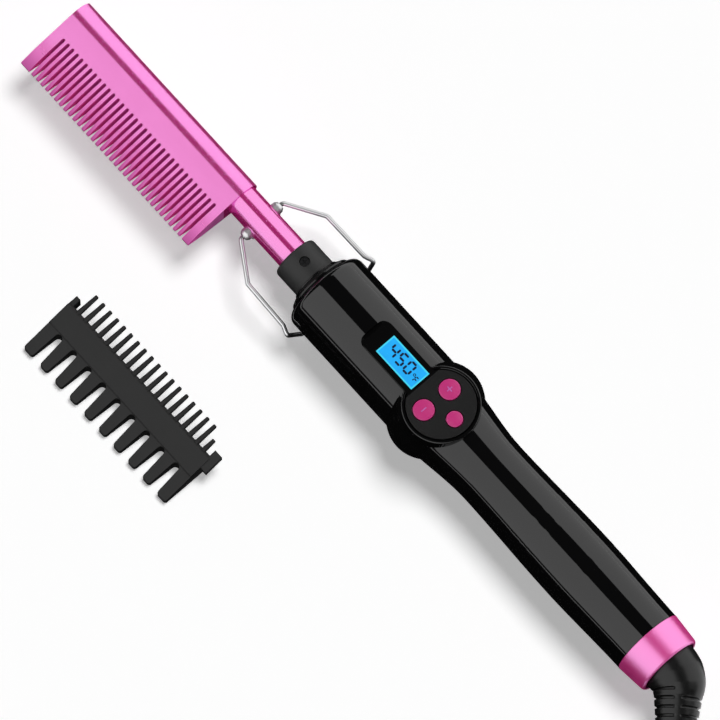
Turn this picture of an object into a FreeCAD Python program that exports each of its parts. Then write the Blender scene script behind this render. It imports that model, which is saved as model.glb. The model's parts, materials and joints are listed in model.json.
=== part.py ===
import FreeCAD, Part
import math
import os

# Electric hot comb with a folding wire stand, a clip-on comb and a swivel cord.
#
# The tool lies on its wire stand and on the belly of its control pod, with the
# display up. While a piece is built, X runs along the tool's axis from the middle
# of the end ring towards the comb's tip, Y points the way the comb's teeth point,
# and Z is up, with zero on the tool's axis. The last step moves every piece so
# that the origin is under the middle of the object, on the surface it lies on.
# All lengths are in millimetres, all angles in degrees.

V = FreeCAD.Vector
O, X, Y, Z = V(0, 0, 0), V(1, 0, 0), V(0, 1, 0), V(0, 0, 1)

# ---- clearances ----------------------------------------------------------------
SEAT = 0.05         # between fixed pieces, where one seats on or in another
RUN = 0.05          # radial, between a shaft or pin and its hole
MOVE = 0.35         # between bodies that move past each other

# ---- handle --------------------------------------------------------------------
HANDLE_LENGTH = 180.2
WALL = 2.0
TAIL_R = 14.15      # at the end ring
PALM_R = 15.0       # the swell that fills the palm
WAIST_R = 14.05
FRONT_R = 17.0
FRONT_ROUND = 3.4
NOSE_BORE_R = 12.0
# shares of the way from the handle's rear end to the pod's middle
PALM_SHARE = 0.33
WAIST_SHARE = 0.75
SHOULDER_SHARE = 1.04
REAR_SCREW_SHARES = (0.158, 0.561)
FRONT_SCREW_BACK = 22.7  # behind the handle's front end
BOSS_R = 3.6
SHELL_SCREW_R = 1.2
SHELL_SCREW_HEAD_R = 2.4
SHELL_SCREW_HEAD = 1.6
SHELL_SCREW_SINK = 3.0   # how deep the head sits under the lower shell's skin

# ---- control pod and bezel -----------------------------------------------------
POD_BACK = 66.1     # the pod's middle, behind the handle's front end
POD_LEAN = 3.0      # the pod's belly, ahead of its rim
POD_SQUEEZE = 0.86   # the belly's length along the tool over its width
POD_R = 19.5
RIM_R = 14.9
RIM_ROUND = 0.5     # the rim's outer edge
RIM_EASE = 0.3      # the rim's inner edge
RIM_FOOT = 14.6     # height where the pod's side meets the rim
BEZEL_TOP = 17.4
DISC_R = 13.15
GROOVE = 0.4        # round the disc, inside the rim
NECK_REACH = 38.7   # from the pod's middle to the bezel's front edge
FACET_RUN = 4.0
FACET_DROP = 2.0
NECK_CORNER = 3.0   # the outline's front corners
BEZEL_PLATE = 2.0
BEZEL_SKIRT = 1.2
BEZEL_DEPTH = 5.9

# ---- display -------------------------------------------------------------------
LCD_LENGTH = 19.5
LCD_HALF = 4.45
LCD_REACH = 11.6    # from the pod's middle to the window's rear edge
WINDOW_SINK = 0.15
WINDOW_FLANGE = 0.75
FLANGE_THICK = 0.85
MODULE_THICK = 2.85
MODULE_MARGIN = 0.1

# ---- buttons: reach along the handle from the pod's middle, y, radius -----------
BUTTONS = {
    "heat_up": (2.2, -6.1, 4.05),
    "heat_down": (2.7, 6.2, 4.05),
    "power": (-7.4, 0.0, 3.1),
}
BUTTON_RISE = 0.6
BUTTON_TRAVEL = 0.5
BUTTON_LIP = 0.8
BUTTON_LIP_THICK = 0.9
STEM_R = 1.2
PLUNGER_R = 1.7
PLUNGER_SHOWN = 1.2
SWITCH_SIZE = 6.0
SWITCH_HEIGHT = 3.5

# ---- circuit board -------------------------------------------------------------
BOARD_TOP = 6.3
BOARD_THICK = 1.6
BOARD_HALF = 10.0
BOARD_REAR = -16.3  # from the pod's middle
BOARD_FRONT = 37.4
POST_R = 1.7
POSTS = ((-8.5, 7.3), (-8.5, -7.3), (34.9, 4.2), (34.9, -4.2))
BOARD_SCREW_R = 0.8
BOARD_SCREW_HEAD_R = 1.6
BOARD_SCREW_HEAD = 1.0
# what the board carries below, from its rear end: x0, x1, y0, y1, depth
BLOCKS = ((11, 18, -4, 4, 1.6), (28, 38, 2, 6.5, 9.0), (1.5, 4.5, -7, 3, 3.0))
# and the round ones: x, y, radius, depth
CANS = ((31, -4.5, 3.2, 10.0), (23.5, -1, 3.6, 6.0))

# ---- nose, collar and barrel ---------------------------------------------------
NOSE_LENGTH = 3.6
NOSE_R = 13.3
NOSE_FRONT_R = 9.9
NOSE_EDGE = 0.5
NOSE_SPIGOT = 6.0
COLLAR_LENGTH = 12.0
COLLAR_R = 9.1
COLLAR_EDGE = 1.3
COLLAR_NECK_R = 8.6
COLLAR_FLANGE = 2.5
COLLAR_FLANGE_R = 11.6
FLANGE_RIB = 2.2
FLANGE_RIB_BORE = 7.6
COLLAR_SCREW_AT = 6.0    # from the collar's front face
COLLAR_SCREW_R = 1.0
COLLAR_SCREW_HEAD_R = 1.9
COLLAR_SCREW_HEAD = 1.1
COLLAR_SCREW_SINK = 0.8
BARREL_R = 6.4
BARREL_WALL = 0.8
BARREL_SHOWN = 29.0
BARREL_TAIL = 8.0   # behind the collar's flange

# ---- comb head -----------------------------------------------------------------
COMB_LENGTH = 93.3
SPINE_R = 7.4
TEETH_REACH = 26.6  # from the axis to the tips
BEVEL_START = 17.0
BEVEL_HALF = 4.1    # half thickness where the bevel starts
TIP_HALF = 0.65
BEVEL_CROWN = 0.45
SLOTS = 34
SLOT_WIDTH = 1.2
SLOT_PITCH = 2.55
SLOT_ROOT = 9.4     # from the axis
END_TOOTH = 4.5
CAP_THICK = 3.0

# ---- heater --------------------------------------------------------------------
HEATER_LENGTH = 74.0
HEATER_FROM_TIP = 12.0
PTC_COUNT = 3
PTC_LENGTH = 22.0
PTC_WIDTH = 8.0
PTC_THICK = 2.4
FILM = 0.2
SENSOR_R = 1.0
SENSOR_LENGTH = 4.4
LEAD_R = 0.7
LEAD_SPREAD = 4.5   # in the barrel, to each side
LEAD_START = 7.2    # at the board, to each side
LEAD_BEND = 4.0

# ---- wire stand ----------------------------------------------------------------
WIRE_R = 0.85
PIVOT_BACK = 11.1   # behind the comb head
EAR_LENGTH = 5.0
EAR_R = 2.4
EAR_REACH = 9.1
EAR_TIP_R = 1.6
EAR_TAPER = 1.1      # the length over which an ear narrows to its tip
SADDLE = 0.6
PIN_START = 7.5     # the wire's end, from the axis
PIN_TURN = 10.3
LEG_OUT = 19.5      # where the leg turns to run along the tool
LEG_BACK = 14.3
FLARE_OUT = 19.9
FLARE_BACK = 34.5
FOOT_OUT = 21.4
FOOT_BACK = 38.4
FOOT_HALF = 14.0
LEG_SAG = 1.5
FLARE_SAG = 3.0
WIRE_BEND = 2.6
PIN_BEND = 1.3

# ---- end ring and swivel -------------------------------------------------------
RING_LENGTH = 12.4
RING_REAR_R = 13.2
RING_WALL = 1.25
RING_LIP = 5.1      # the length behind the handle's spigot
RING_MOUTH_R = 11.7
SPIGOT_BORE = 10.9
SOCKET_LENGTH = 10.5
SOCKET_SHOULDER = 3.6
SWIVEL_R = 6.5
SWIVEL_FLANGE_R = 8.3
SWIVEL_FLANGE = 2.0
SPINDLE_R = 3.6
SPINDLE_LENGTH = 12.0
SLIP_R = 5.0
SLIP_WIDTH = 2.0
SLIP_PITCH = 4.5
BRUSH_WIDTH = 1.4
BRUSH_DEPTH = 3.0

# ---- cord boot -----------------------------------------------------------------
BOOT_INSET = 1.4    # its front face, inside the ring's mouth
BOOT_STUB_R = 3.6
BOOT_STUB = 2.6
BOOT_NECK = 0.8
BOOT_BEND = 14.0
BOOT_TURN = 45.0
BOOT_DROP = 5.2
BOOT_SLICES = 27     # of the loft
# distance from its front face, radius
BOOT_SECTIONS = ((0, 10.9), (5, 10.9), (9.5, 10.2), (13.5, 9.0), (19, 8.3), (31, 7.0), (43, 5.5), (54, 4.0))
GROOVE_FIRST = 11.5
GROOVE_PITCH = 3.2
GROOVES = 10
GROOVE_WIDTH = 1.0
GROOVE_SPINE = 0.34  # half width of the solid spine, as a share of the boot's radius
GROOVE_CORE = 0.86  # radius left under a groove, as a share of the boot's radius

# ---- cord, coil and plug -------------------------------------------------------
CORD_R = 2.75
COIL_MEAN_R = 33.0
COIL_ROWS = 3
COIL_AHEAD = 29.0   # from the boot's tip to the coil's side, along the cord
COIL_EDGE = 2.0
TIE_WIDTH = 12.0
TIE_THICK = 1.1
TIE_BITE = 0.6
# route points past the boot's tip: along the cord, to its left, above its start
LEAD_IN = ((0, 0, 0), (14.5, 0, 0), (29, 0.9, 0.2))
# route points past the coil: along the cord, to its left, above the floor
LEAD_OUT = ((0, 0, 0), (19, 0.9, 0), (37, -3.0, 0.9), (54, -9.5, 4.6))
RELIEF_LENGTH = 22.0
RELIEF_R = 5.2
PLUG_LENGTH = 30.0
PLUG_WIDTH = 25.0
PLUG_HEIGHT = 16.0
PLUG_EDGE = 3.0
BLADE_LENGTH = 17.0
BLADE_WIDTH = 6.3
BLADE_THICK = 1.5
BLADE_SPREAD = 12.7
BLADE_ROOT = 8.0

# ---- clip-on comb --------------------------------------------------------------
CLIP_BEHIND = 25.0  # its middle, behind the comb head's rear end
CLIP_Y = 78.9
CLIP_LENGTH = 79.0
CLIP_TIP = 16.0     # the big teeth's tips, from its middle
CLIP_BIG_ROOT = 3.3
CLIP_BACK = 7.0     # the band's far edge
CLIP_FINE_TIP = 16.0
CLIP_TIP_TOP = 3.7
CLIP_SLOPE = 0.33
CLIP_WALL = 1.6
CLIP_FINE_RISE = 0.4
CLIP_STEP_AT = 3.0  # the band's edge above the big teeth, from its middle
CLIP_STEP = 0.5     # how far the big teeth lie under the band
CLIP_EASE = 1.2     # the band's back edge
BIG_TEETH = 10
BIG_PITCH = 8.15
BIG_ROOT_WIDTH = 5.0
BIG_TIP_WIDTH = 4.0
BIG_TIP_ROUND = 1.2
FINE_TEETH = 19
FINE_PITCH = 3.87
FINE_FIRST = 5.3    # from the band's front end to the first fine tooth
FINE_LAST_SHORT = 4.0  # how much shorter the last fine tooth is
FINE_ROOT = 2.0
FINE_ROOT_THICK = 2.2
FINE_TIP = 1.5
FINE_TIP_THICK = 1.6
END_WALL = 2.0
KNOB_REACH = 3.5    # past the band's back
LATCH_OUT = 3.0     # past the band's end
LATCH_LENGTH = 8.0
LATCH_REACH = 2.6   # past the band's back
LATCH_HEIGHT = 3.4
KNOB_HEIGHT = 7.5

# ---- stations along the tool, worked out from the sizes above --------------------
HANDLE_REAR = RING_LENGTH / 2
HANDLE_FRONT = HANDLE_REAR + HANDLE_LENGTH
POD_AT = HANDLE_LENGTH - POD_BACK
POD_X = HANDLE_REAR + POD_AT
PALM_AT = PALM_SHARE * POD_AT
WAIST_AT = WAIST_SHARE * POD_AT
SHOULDER_AT = SHOULDER_SHARE * POD_AT
NECK_X = POD_X + NECK_REACH
LCD_X0 = POD_X + LCD_REACH
LCD_X1 = LCD_X0 + LCD_LENGTH
NOSE_FRONT = HANDLE_FRONT + NOSE_LENGTH
COLLAR_FRONT = NOSE_FRONT + COLLAR_LENGTH
FLANGE_FRONT = HANDLE_FRONT - NOSE_SPIGOT - SEAT
FLANGE_REAR = FLANGE_FRONT - COLLAR_FLANGE
COMB_REAR = COLLAR_FRONT + BARREL_SHOWN
COMB_TIP = COMB_REAR + COMB_LENGTH
CLIP_X = COMB_REAR - CLIP_BEHIND
BARREL_REAR = FLANGE_REAR - BARREL_TAIL
CAP_REAR = COMB_TIP - CAP_THICK
BARREL_FRONT = CAP_REAR - SEAT
HEATER_FRONT = COMB_TIP - HEATER_FROM_TIP
HEATER_REAR = HEATER_FRONT - HEATER_LENGTH
PIVOT_X = COMB_REAR - PIVOT_BACK
FLOOR = -POD_R
NECK_HALF = LCD_HALF + WINDOW_FLANGE + MODULE_MARGIN + 2 * SEAT + BEZEL_SKIRT
RING_REAR = -RING_LENGTH / 2
SPIGOT_REAR = RING_REAR + RING_LIP
SOCKET_REAR = SPIGOT_REAR
SOCKET_FRONT = SOCKET_REAR + SOCKET_LENGTH
SHOULDER_FRONT = SOCKET_REAR + SOCKET_SHOULDER
BOOT_FRONT = RING_REAR + BOOT_INSET
PLATE_BOTTOM = BEZEL_TOP - BEZEL_PLATE
BEZEL_BOTTOM = BEZEL_TOP - BEZEL_DEPTH
BOARD_BOTTOM = BOARD_TOP - BOARD_THICK
BARREL_BORE = BARREL_R - BARREL_WALL
CORD_STEP = 2 * CORD_R
COIL_OUTER_TURN = COIL_MEAN_R + (COIL_ROWS - 1) / 2 * CORD_STEP
COIL_OUTER = COIL_MEAN_R + COIL_ROWS / 2 * CORD_STEP
COIL_INNER = COIL_MEAN_R - COIL_ROWS / 2 * CORD_STEP
COIL_HEIGHT = COIL_ROWS * CORD_STEP


# ---- plain shapes --------------------------------------------------------------
def rod(radius, x0, x1):
    """A round bar along the tool's axis."""
    return Part.makeCylinder(radius, x1 - x0, V(x0, 0, 0), X)


def sleeve(outer, inner, x0, x1):
    return rod(outer, x0, x1).cut(rod(inner, x0 - 1, x1 + 1))


def post(radius, x, y, z0, z1):
    """A round bar that stands up."""
    return Part.makeCylinder(radius, z1 - z0, V(x, y, z0), Z)


def block(x0, x1, y0, y1, z0, z1):
    return Part.makeBox(x1 - x0, y1 - y0, z1 - z0, V(x0, y0, z0))


def polygon(points):
    return Part.Face(Part.makePolygon([*points, points[0]]))


def turned(outline):
    """A solid of revolution about the tool's axis, from (x, radius) corners."""
    return polygon([V(x, 0, r) for x, r in outline]).revolve(O, X, 360)


def joined(shapes):
    first, *others = shapes
    return first.multiFuse(others)


def facing(point, on):
    """A placement at point that turns Z to face along on and keeps Y as near up as it can."""
    side = Z.cross(on).normalize()
    return FreeCAD.Placement(point, FreeCAD.Rotation(side, on.cross(side), on, "ZXY"))


def ring_wire(radius, point, on):
    """A circle round a line through point, with its seam always on the same side."""
    circle = Part.Wire(Part.makeCircle(radius))
    circle.Placement = facing(point, on)
    return circle


def both_sides(shape):
    """The shape and its mirror image across the tool's upright middle plane."""
    return [shape, shape.mirror(O, Y)]


# ---- handle --------------------------------------------------------------------
def blend_edge(x0, r0, x1, r1):
    """A curve from one radius to the next that leaves and arrives level."""
    third = (x1 - x0) / 3
    curve = Part.BezierCurve()
    curve.setPoles([V(x0, 0, r0), V(x0 + third, 0, r0), V(x1 - third, 0, r1), V(x1, 0, r1)])
    return curve.toShape()


def handle_blank(inset, front, rounding):
    """The handle's form, solid, with its skin moved inwards by inset."""
    rear = HANDLE_REAR
    stations = [
        (rear, TAIL_R - inset),
        (rear + PALM_AT, PALM_R - inset),
        (rear + WAIST_AT, WAIST_R - inset),
        (rear + SHOULDER_AT, FRONT_R - inset),
    ]
    edges = [blend_edge(*a, *b) for a, b in zip(stations, stations[1:])]
    start, top = stations[0][1], FRONT_R - inset
    edges.append(Part.makeLine(V(stations[-1][0], 0, top), V(front - rounding, 0, top)))
    if rounding:
        middle = V(front - rounding, 0, top - rounding) + V(1, 0, 1).normalize() * rounding
        edges.append(Part.Arc(V(front - rounding, 0, top), middle, V(front, 0, top - rounding)).toShape())
    edges.append(Part.makeLine(V(front, 0, top - rounding), V(front, 0, 0)))
    edges.append(Part.makeLine(V(front, 0, 0), V(rear, 0, 0)))
    edges.append(Part.makeLine(V(rear, 0, 0), V(rear, 0, start)))
    return Part.Face(Part.Wire(edges)).revolve(O, X, 360)


def pod_blank(inset, top):
    """The pod under the buttons: a ball below with a bulging side, and the rim's drum above."""
    belly, rim = POD_R - inset, RIM_R - inset
    spread = belly - rim
    bulge = (spread**2 + RIM_FOOT**2) / (2 * spread)
    half = math.asin(RIM_FOOT / bulge) / 2
    low = Part.Arc(
        V(0, 0, -belly), V(belly * math.sin(math.pi / 4), 0, -belly * math.cos(math.pi / 4)), V(belly, 0, 0)
    )
    side_middle = V(belly - bulge * (1 - math.cos(half)), 0, bulge * math.sin(half))
    side = Part.Arc(V(belly, 0, 0), side_middle, V(rim, 0, RIM_FOOT))
    corners = [V(rim, 0, RIM_FOOT), V(0, 0, RIM_FOOT), V(0, 0, -belly)]
    edges = [low.toShape(), side.toShape()]
    edges += [Part.makeLine(a, b) for a, b in zip(corners, corners[1:])]
    squeeze = FreeCAD.Matrix()
    squeeze.scale(POD_SQUEEZE, 1, 1)
    belly_form = Part.Face(Part.Wire(edges)).revolve(O, Z, 360).transformGeometry(squeeze)
    drum = post(rim, POD_X, 0, 0, top)
    if not inset:
        drum = drum.makeFillet(RIM_ROUND, [e for e in drum.Edges if abs(e.CenterOfMass.z - top) < 0.01 and e.Closed])
    return belly_form.translated(V(POD_X + POD_LEAN, 0, 0)).fuse(drum)


def keyhole(disc, neck, front, z0, z1):
    """The bezel's outline as a solid: a disc with a neck that runs forwards to round corners."""
    arm = block(POD_X, front, -neck, neck, z0, z1)
    corners = [
        e for e in arm.Edges if abs(e.CenterOfMass.x - front) < 0.01 and abs(abs(e.CenterOfMass.y) - neck) < 0.01
    ]
    arm = arm.makeFillet(NECK_CORNER + neck - NECK_HALF, corners)
    return post(disc, POD_X, 0, z0, z1).fuse(arm)


def handle_shell():
    """Both handle shells as one hollow form, before it is split."""
    above = BEZEL_TOP + POD_R
    form = handle_blank(0, HANDLE_FRONT, FRONT_ROUND).fuse(pod_blank(0, BEZEL_TOP))
    hollow = handle_blank(WALL, HANDLE_FRONT - WALL, 0).fuse(pod_blank(WALL, RIM_FOOT - WALL / 2))
    shell = form.cut(hollow)
    shell = shell.cut(rod(NOSE_BORE_R, HANDLE_FRONT - 2 * WALL, HANDLE_FRONT + 1))
    spigot = sleeve(TAIL_R - RING_WALL - SEAT, SPIGOT_BORE, SPIGOT_REAR, HANDLE_REAR + WALL)
    inner_ring = sleeve(TAIL_R - WALL / 2, SPIGOT_BORE, HANDLE_REAR, SOCKET_FRONT)
    rib_front = FLANGE_REAR - SEAT
    rib = sleeve(FRONT_R - WALL / 2, FLANGE_RIB_BORE, rib_front - FLANGE_RIB, rib_front)
    shell = joined([shell.cut(rod(SPIGOT_BORE, HANDLE_REAR - 1, SOCKET_FRONT)), spigot, inner_ring, rib])
    opening = keyhole(DISC_R + GROOVE, NECK_HALF + SEAT, NECK_X + SEAT, BEZEL_BOTTOM - WALL, above)
    mouth = DISC_R + GROOVE
    ease = Part.makeCone(mouth, mouth + 2 * RIM_EASE, 2 * RIM_EASE, V(POD_X, 0, BEZEL_TOP - RIM_EASE))
    return shell.cut(opening).cut(ease)


def screw_places():
    rear = [HANDLE_REAR + share * POD_AT for share in REAR_SCREW_SHARES]
    return [*rear, HANDLE_FRONT - FRONT_SCREW_BACK]


def handle_radius(x):
    """The handle's outer radius at a station, from the same level curves as its form."""
    stations = [(0, TAIL_R), (PALM_AT, PALM_R), (WAIST_AT, WAIST_R), (SHOULDER_AT, FRONT_R)]
    at = x - HANDLE_REAR
    for (a, ra), (b, rb) in zip(stations, stations[1:]):
        if at <= b:
            t = (at - a) / (b - a)
            return ra + (rb - ra) * (3 * t**2 - 2 * t**3)
    return FRONT_R


def half_of(shell, side):
    """The part of the shell above the split plane (side 1) or below it (side -1)."""
    wide = 2 * POD_R
    low, high = (SEAT / 2, wide) if side > 0 else (-wide, -SEAT / 2)
    return shell.common(block(SPIGOT_REAR - 1, HANDLE_FRONT + 1, -wide, wide, low, high))


def handle_upper_shell(shell):
    bosses = []
    for x in screw_places():
        roof = handle_radius(x) - WALL / 2
        boss = post(BOSS_R, x, 0, SEAT / 2, roof)
        bosses.append(boss.cut(post(SHELL_SCREW_R + SEAT, x, 0, -1, roof - WALL)))
    return joined([half_of(shell, 1), *bosses])


def handle_lower_shell(shell):
    bosses, holes = [], []
    for x in screw_places():
        skin = -handle_radius(x)
        seat = skin + SHELL_SCREW_SINK + SHELL_SCREW_HEAD
        bosses.append(post(BOSS_R, x, 0, skin + WALL / 2, -SEAT / 2))
        holes.append(post(SHELL_SCREW_R + SEAT, x, 0, skin - 1, 1))
        holes.append(post(SHELL_SCREW_HEAD_R + SEAT, x, 0, skin - 1, seat))
    return joined([half_of(shell, -1), *bosses]).cut(Part.makeCompound(holes))


def cross_slot(x, y, z0, z1, reach, width):
    """Two crossed bars, to cut a cross recess in a screw's head."""
    half = width / 2
    one = block(x - reach, x + reach, y - half, y + half, z0, z1)
    return one.fuse(block(x - half, x + half, y - reach, y + reach, z0, z1))


def shell_screws():
    screws = []
    for x in screw_places():
        skin = -handle_radius(x)
        low = skin + SHELL_SCREW_SINK
        seat = low + SHELL_SCREW_HEAD - SEAT
        tip = handle_radius(x) - 2 * WALL - SEAT
        screw = post(SHELL_SCREW_HEAD_R, x, 0, low, seat).fuse(post(SHELL_SCREW_R, x, 0, low, tip))
        reach = SHELL_SCREW_HEAD_R * 0.6
        screws.append(screw.cut(cross_slot(x, 0, low - 1, low + SHELL_SCREW_HEAD / 2, reach, 0.6)))
    return Part.makeCompound(screws)


# ---- bezel, display and buttons --------------------------------------------------
def post_places():
    return [(POD_X + reach, y) for reach, y in POSTS]


def button_places():
    return {name: (POD_X + reach, y, r) for name, (reach, y, r) in BUTTONS.items()}


def control_bezel():
    form = keyhole(DISC_R, NECK_HALF, NECK_X, BEZEL_BOTTOM, BEZEL_TOP)
    pocket = keyhole(
        DISC_R - BEZEL_SKIRT, NECK_HALF - BEZEL_SKIRT, NECK_X - BEZEL_SKIRT, BEZEL_BOTTOM - 1, PLATE_BOTTOM
    )
    bezel = form.cut(pocket)
    start = NECK_X - FACET_RUN
    facet = polygon(
        [V(start, 0, BEZEL_TOP), V(NECK_X + 1, 0, BEZEL_TOP - FACET_DROP * (FACET_RUN + 1) / FACET_RUN),
         V(NECK_X + 1, 0, BEZEL_TOP + 1), V(start, 0, BEZEL_TOP + 1)]
    )
    bezel = bezel.cut(facet.extrude(V(0, 4 * NECK_HALF, 0)).translated(V(0, -2 * NECK_HALF, 0)))
    facet_wall = polygon(
        [V(start - 1, 0, PLATE_BOTTOM + 0.1), V(start - 1, 0, PLATE_BOTTOM - 0.1),
         V(NECK_X - 0.1, 0, PLATE_BOTTOM - FACET_DROP), V(NECK_X - 0.1, 0, BEZEL_TOP - FACET_DROP)]
    )
    inner = NECK_HALF - BEZEL_SKIRT / 2
    facet_wall = facet_wall.extrude(V(0, 2 * inner, 0)).translated(V(0, -inner, 0))
    bezel = bezel.fuse(facet_wall.common(form))
    posts = [post(POST_R, x, y, BOARD_TOP + SEAT, PLATE_BOTTOM + 0.1) for x, y in post_places()]
    bezel = joined([bezel, *posts])
    holes = [post(BOARD_SCREW_R + SEAT, x, y, BOARD_TOP, PLATE_BOTTOM - 1) for x, y in post_places()]
    for x, y, radius in button_places().values():
        holes.append(post(radius + MOVE, x, y, PLATE_BOTTOM - 1, BEZEL_TOP + 1))
    half = LCD_HALF + SEAT
    holes.append(block(LCD_X0 - SEAT, LCD_X1 + SEAT, -half, half, PLATE_BOTTOM - 1, BEZEL_TOP + 1))
    return bezel.cut(Part.makeCompound(holes))


def display_window():
    flange_top = PLATE_BOTTOM - SEAT
    pane = block(LCD_X0, LCD_X1, -LCD_HALF, LCD_HALF, flange_top - FLANGE_THICK, BEZEL_TOP - WINDOW_SINK)
    half, grow = LCD_HALF + WINDOW_FLANGE, WINDOW_FLANGE
    flange = block(LCD_X0 - grow, LCD_X1 + grow, -half, half, flange_top - FLANGE_THICK, flange_top)
    return joined([pane, flange])


def module_top():
    return PLATE_BOTTOM - 2 * SEAT - FLANGE_THICK


def display_module():
    grow = WINDOW_FLANGE + MODULE_MARGIN
    half, top = LCD_HALF + grow, module_top()
    return block(LCD_X0 - grow, LCD_X1 + grow, -half, half, top - MODULE_THICK, top)


def display_holder():
    top = module_top() - MODULE_THICK - SEAT
    grow, half = WINDOW_FLANGE, LCD_HALF + WINDOW_FLANGE
    frame = block(LCD_X0 - grow, LCD_X1 + grow, -half, half, BOARD_TOP + SEAT, top)
    return frame.cut(block(LCD_X0 + 1, LCD_X1 - 1, 1 - LCD_HALF, LCD_HALF - 1, BOARD_TOP, top - 1))


def switch_top():
    return BOARD_TOP + SEAT + SWITCH_HEIGHT


def plunger_top():
    return switch_top() + PLUNGER_SHOWN


def button_cap(name):
    """A round cap with a lip under the bezel's plate and a stem down to its switch."""
    x, y, radius = button_places()[name]
    top = BEZEL_TOP + BUTTON_RISE
    lip_top = PLATE_BOTTOM - MOVE
    cap = post(radius, x, y, lip_top - BUTTON_LIP_THICK, top)
    cap = cap.makeFillet(0.35, [e for e in cap.Edges if abs(e.CenterOfMass.z - top) < 0.01 and e.Closed])
    lip = post(radius + BUTTON_LIP, x, y, lip_top - BUTTON_LIP_THICK, lip_top)
    stem = post(STEM_R, x, y, plunger_top() + SEAT, lip_top)
    return joined([cap, lip, stem])


def switch_plunger(name):
    x, y, _ = button_places()[name]
    return post(PLUNGER_R, x, y, switch_top() - 1.4, plunger_top())


def tact_switches():
    half = SWITCH_SIZE / 2
    switches = []
    for x, y, _ in button_places().values():
        case = block(x - half, x + half, y - half, y + half, BOARD_TOP + SEAT, switch_top())
        well = post(PLUNGER_R + 2 * RUN, x, y, switch_top() - 1.4 - BUTTON_TRAVEL - MOVE, switch_top() + 1)
        switches.append(case.cut(well))
    return Part.makeCompound(switches)


# ---- circuit board ---------------------------------------------------------------
def control_board():
    board = block(POD_X + BOARD_REAR, POD_X + BOARD_FRONT, -BOARD_HALF, BOARD_HALF, BOARD_BOTTOM, BOARD_TOP)
    holes = [post(BOARD_SCREW_R + 2 * SEAT, x, y, BOARD_BOTTOM - 1, BOARD_TOP + 1) for x, y in post_places()]
    return board.cut(Part.makeCompound(holes))


def board_components():
    """What the board carries on its underside: controller, relay, buzzer, capacitor, fuse."""
    top = BOARD_BOTTOM - SEAT
    rear = POD_X + BOARD_REAR
    pieces = [block(rear + x0, rear + x1, y0, y1, top - deep, top) for x0, x1, y0, y1, deep in BLOCKS]
    pieces += [post(r, rear + x, y, top - deep, top) for x, y, r, deep in CANS]
    return Part.makeCompound(pieces)


def board_screws():
    screws = []
    for x, y in post_places():
        top = BOARD_BOTTOM - SEAT
        low = top - BOARD_SCREW_HEAD
        screw = post(BOARD_SCREW_HEAD_R, x, y, low, top).fuse(
            post(BOARD_SCREW_R, x, y, low, PLATE_BOTTOM - 2 * BEZEL_PLATE)
        )
        screws.append(screw.cut(cross_slot(x, y, low - 1, low + BOARD_SCREW_HEAD / 2, 1.0, 0.4)))
    return Part.makeCompound(screws)


# ---- nose, collar, barrel and heater -----------------------------------------------
def nose_ring():
    seat, end = HANDLE_FRONT + SEAT, NOSE_FRONT - SEAT
    bore = COLLAR_NECK_R + SEAT
    spigot = sleeve(NOSE_BORE_R - SEAT, bore, FLANGE_FRONT + SEAT, seat)
    step = NOSE_LENGTH / 3
    front = [
        (seat, bore), (seat, NOSE_R - NOSE_EDGE), (seat + NOSE_EDGE, NOSE_R), (seat + step, NOSE_R),
        (seat + 2 * step, NOSE_FRONT_R + step), (end - NOSE_EDGE, NOSE_FRONT_R), (end, NOSE_FRONT_R),
        (end, bore),
    ]
    return joined([spigot, turned(front)])


def collar_screw_x():
    return COLLAR_FRONT - COLLAR_SCREW_AT


def barrel_collar():
    body = rod(COLLAR_R, NOSE_FRONT, COLLAR_FRONT)
    rim = [e for e in body.Edges if e.Closed and abs(e.CenterOfMass.x - COLLAR_FRONT) < 0.01]
    body = body.makeFillet(COLLAR_EDGE, rim)
    neck = rod(COLLAR_NECK_R, FLANGE_REAR, NOSE_FRONT)
    flange = rod(COLLAR_FLANGE_R, FLANGE_REAR, FLANGE_FRONT)
    collar = joined([body, neck, flange]).cut(rod(BARREL_R + SEAT, FLANGE_REAR - 1, COLLAR_FRONT + 1))
    x = collar_screw_x()
    head_seat = COLLAR_R - COLLAR_SCREW_SINK - COLLAR_SCREW_HEAD
    holes = [post(COLLAR_SCREW_R + SEAT, x, 0, 0, COLLAR_R + 1)]
    holes.append(post(COLLAR_SCREW_HEAD_R + 3 * SEAT, x, 0, head_seat, COLLAR_R + 1))
    return collar.cut(Part.makeCompound(holes))


def collar_screw():
    x = collar_screw_x()
    low = COLLAR_R - COLLAR_SCREW_SINK - COLLAR_SCREW_HEAD + SEAT
    top = low + COLLAR_SCREW_HEAD
    head = post(COLLAR_SCREW_HEAD_R, x, 0, low, top)
    screw = head.fuse(post(COLLAR_SCREW_R, x, 0, BARREL_BORE + SEAT, low))
    reach = COLLAR_SCREW_HEAD_R * 0.6
    return screw.cut(cross_slot(x, 0, top - COLLAR_SCREW_HEAD / 2, top + 1, reach, 0.5))


def barrel_tube():
    tube = sleeve(BARREL_R, BARREL_BORE, BARREL_REAR, BARREL_FRONT)
    return tube.cut(post(COLLAR_SCREW_R + SEAT, collar_screw_x(), 0, 0, BARREL_R + 1))


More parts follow.
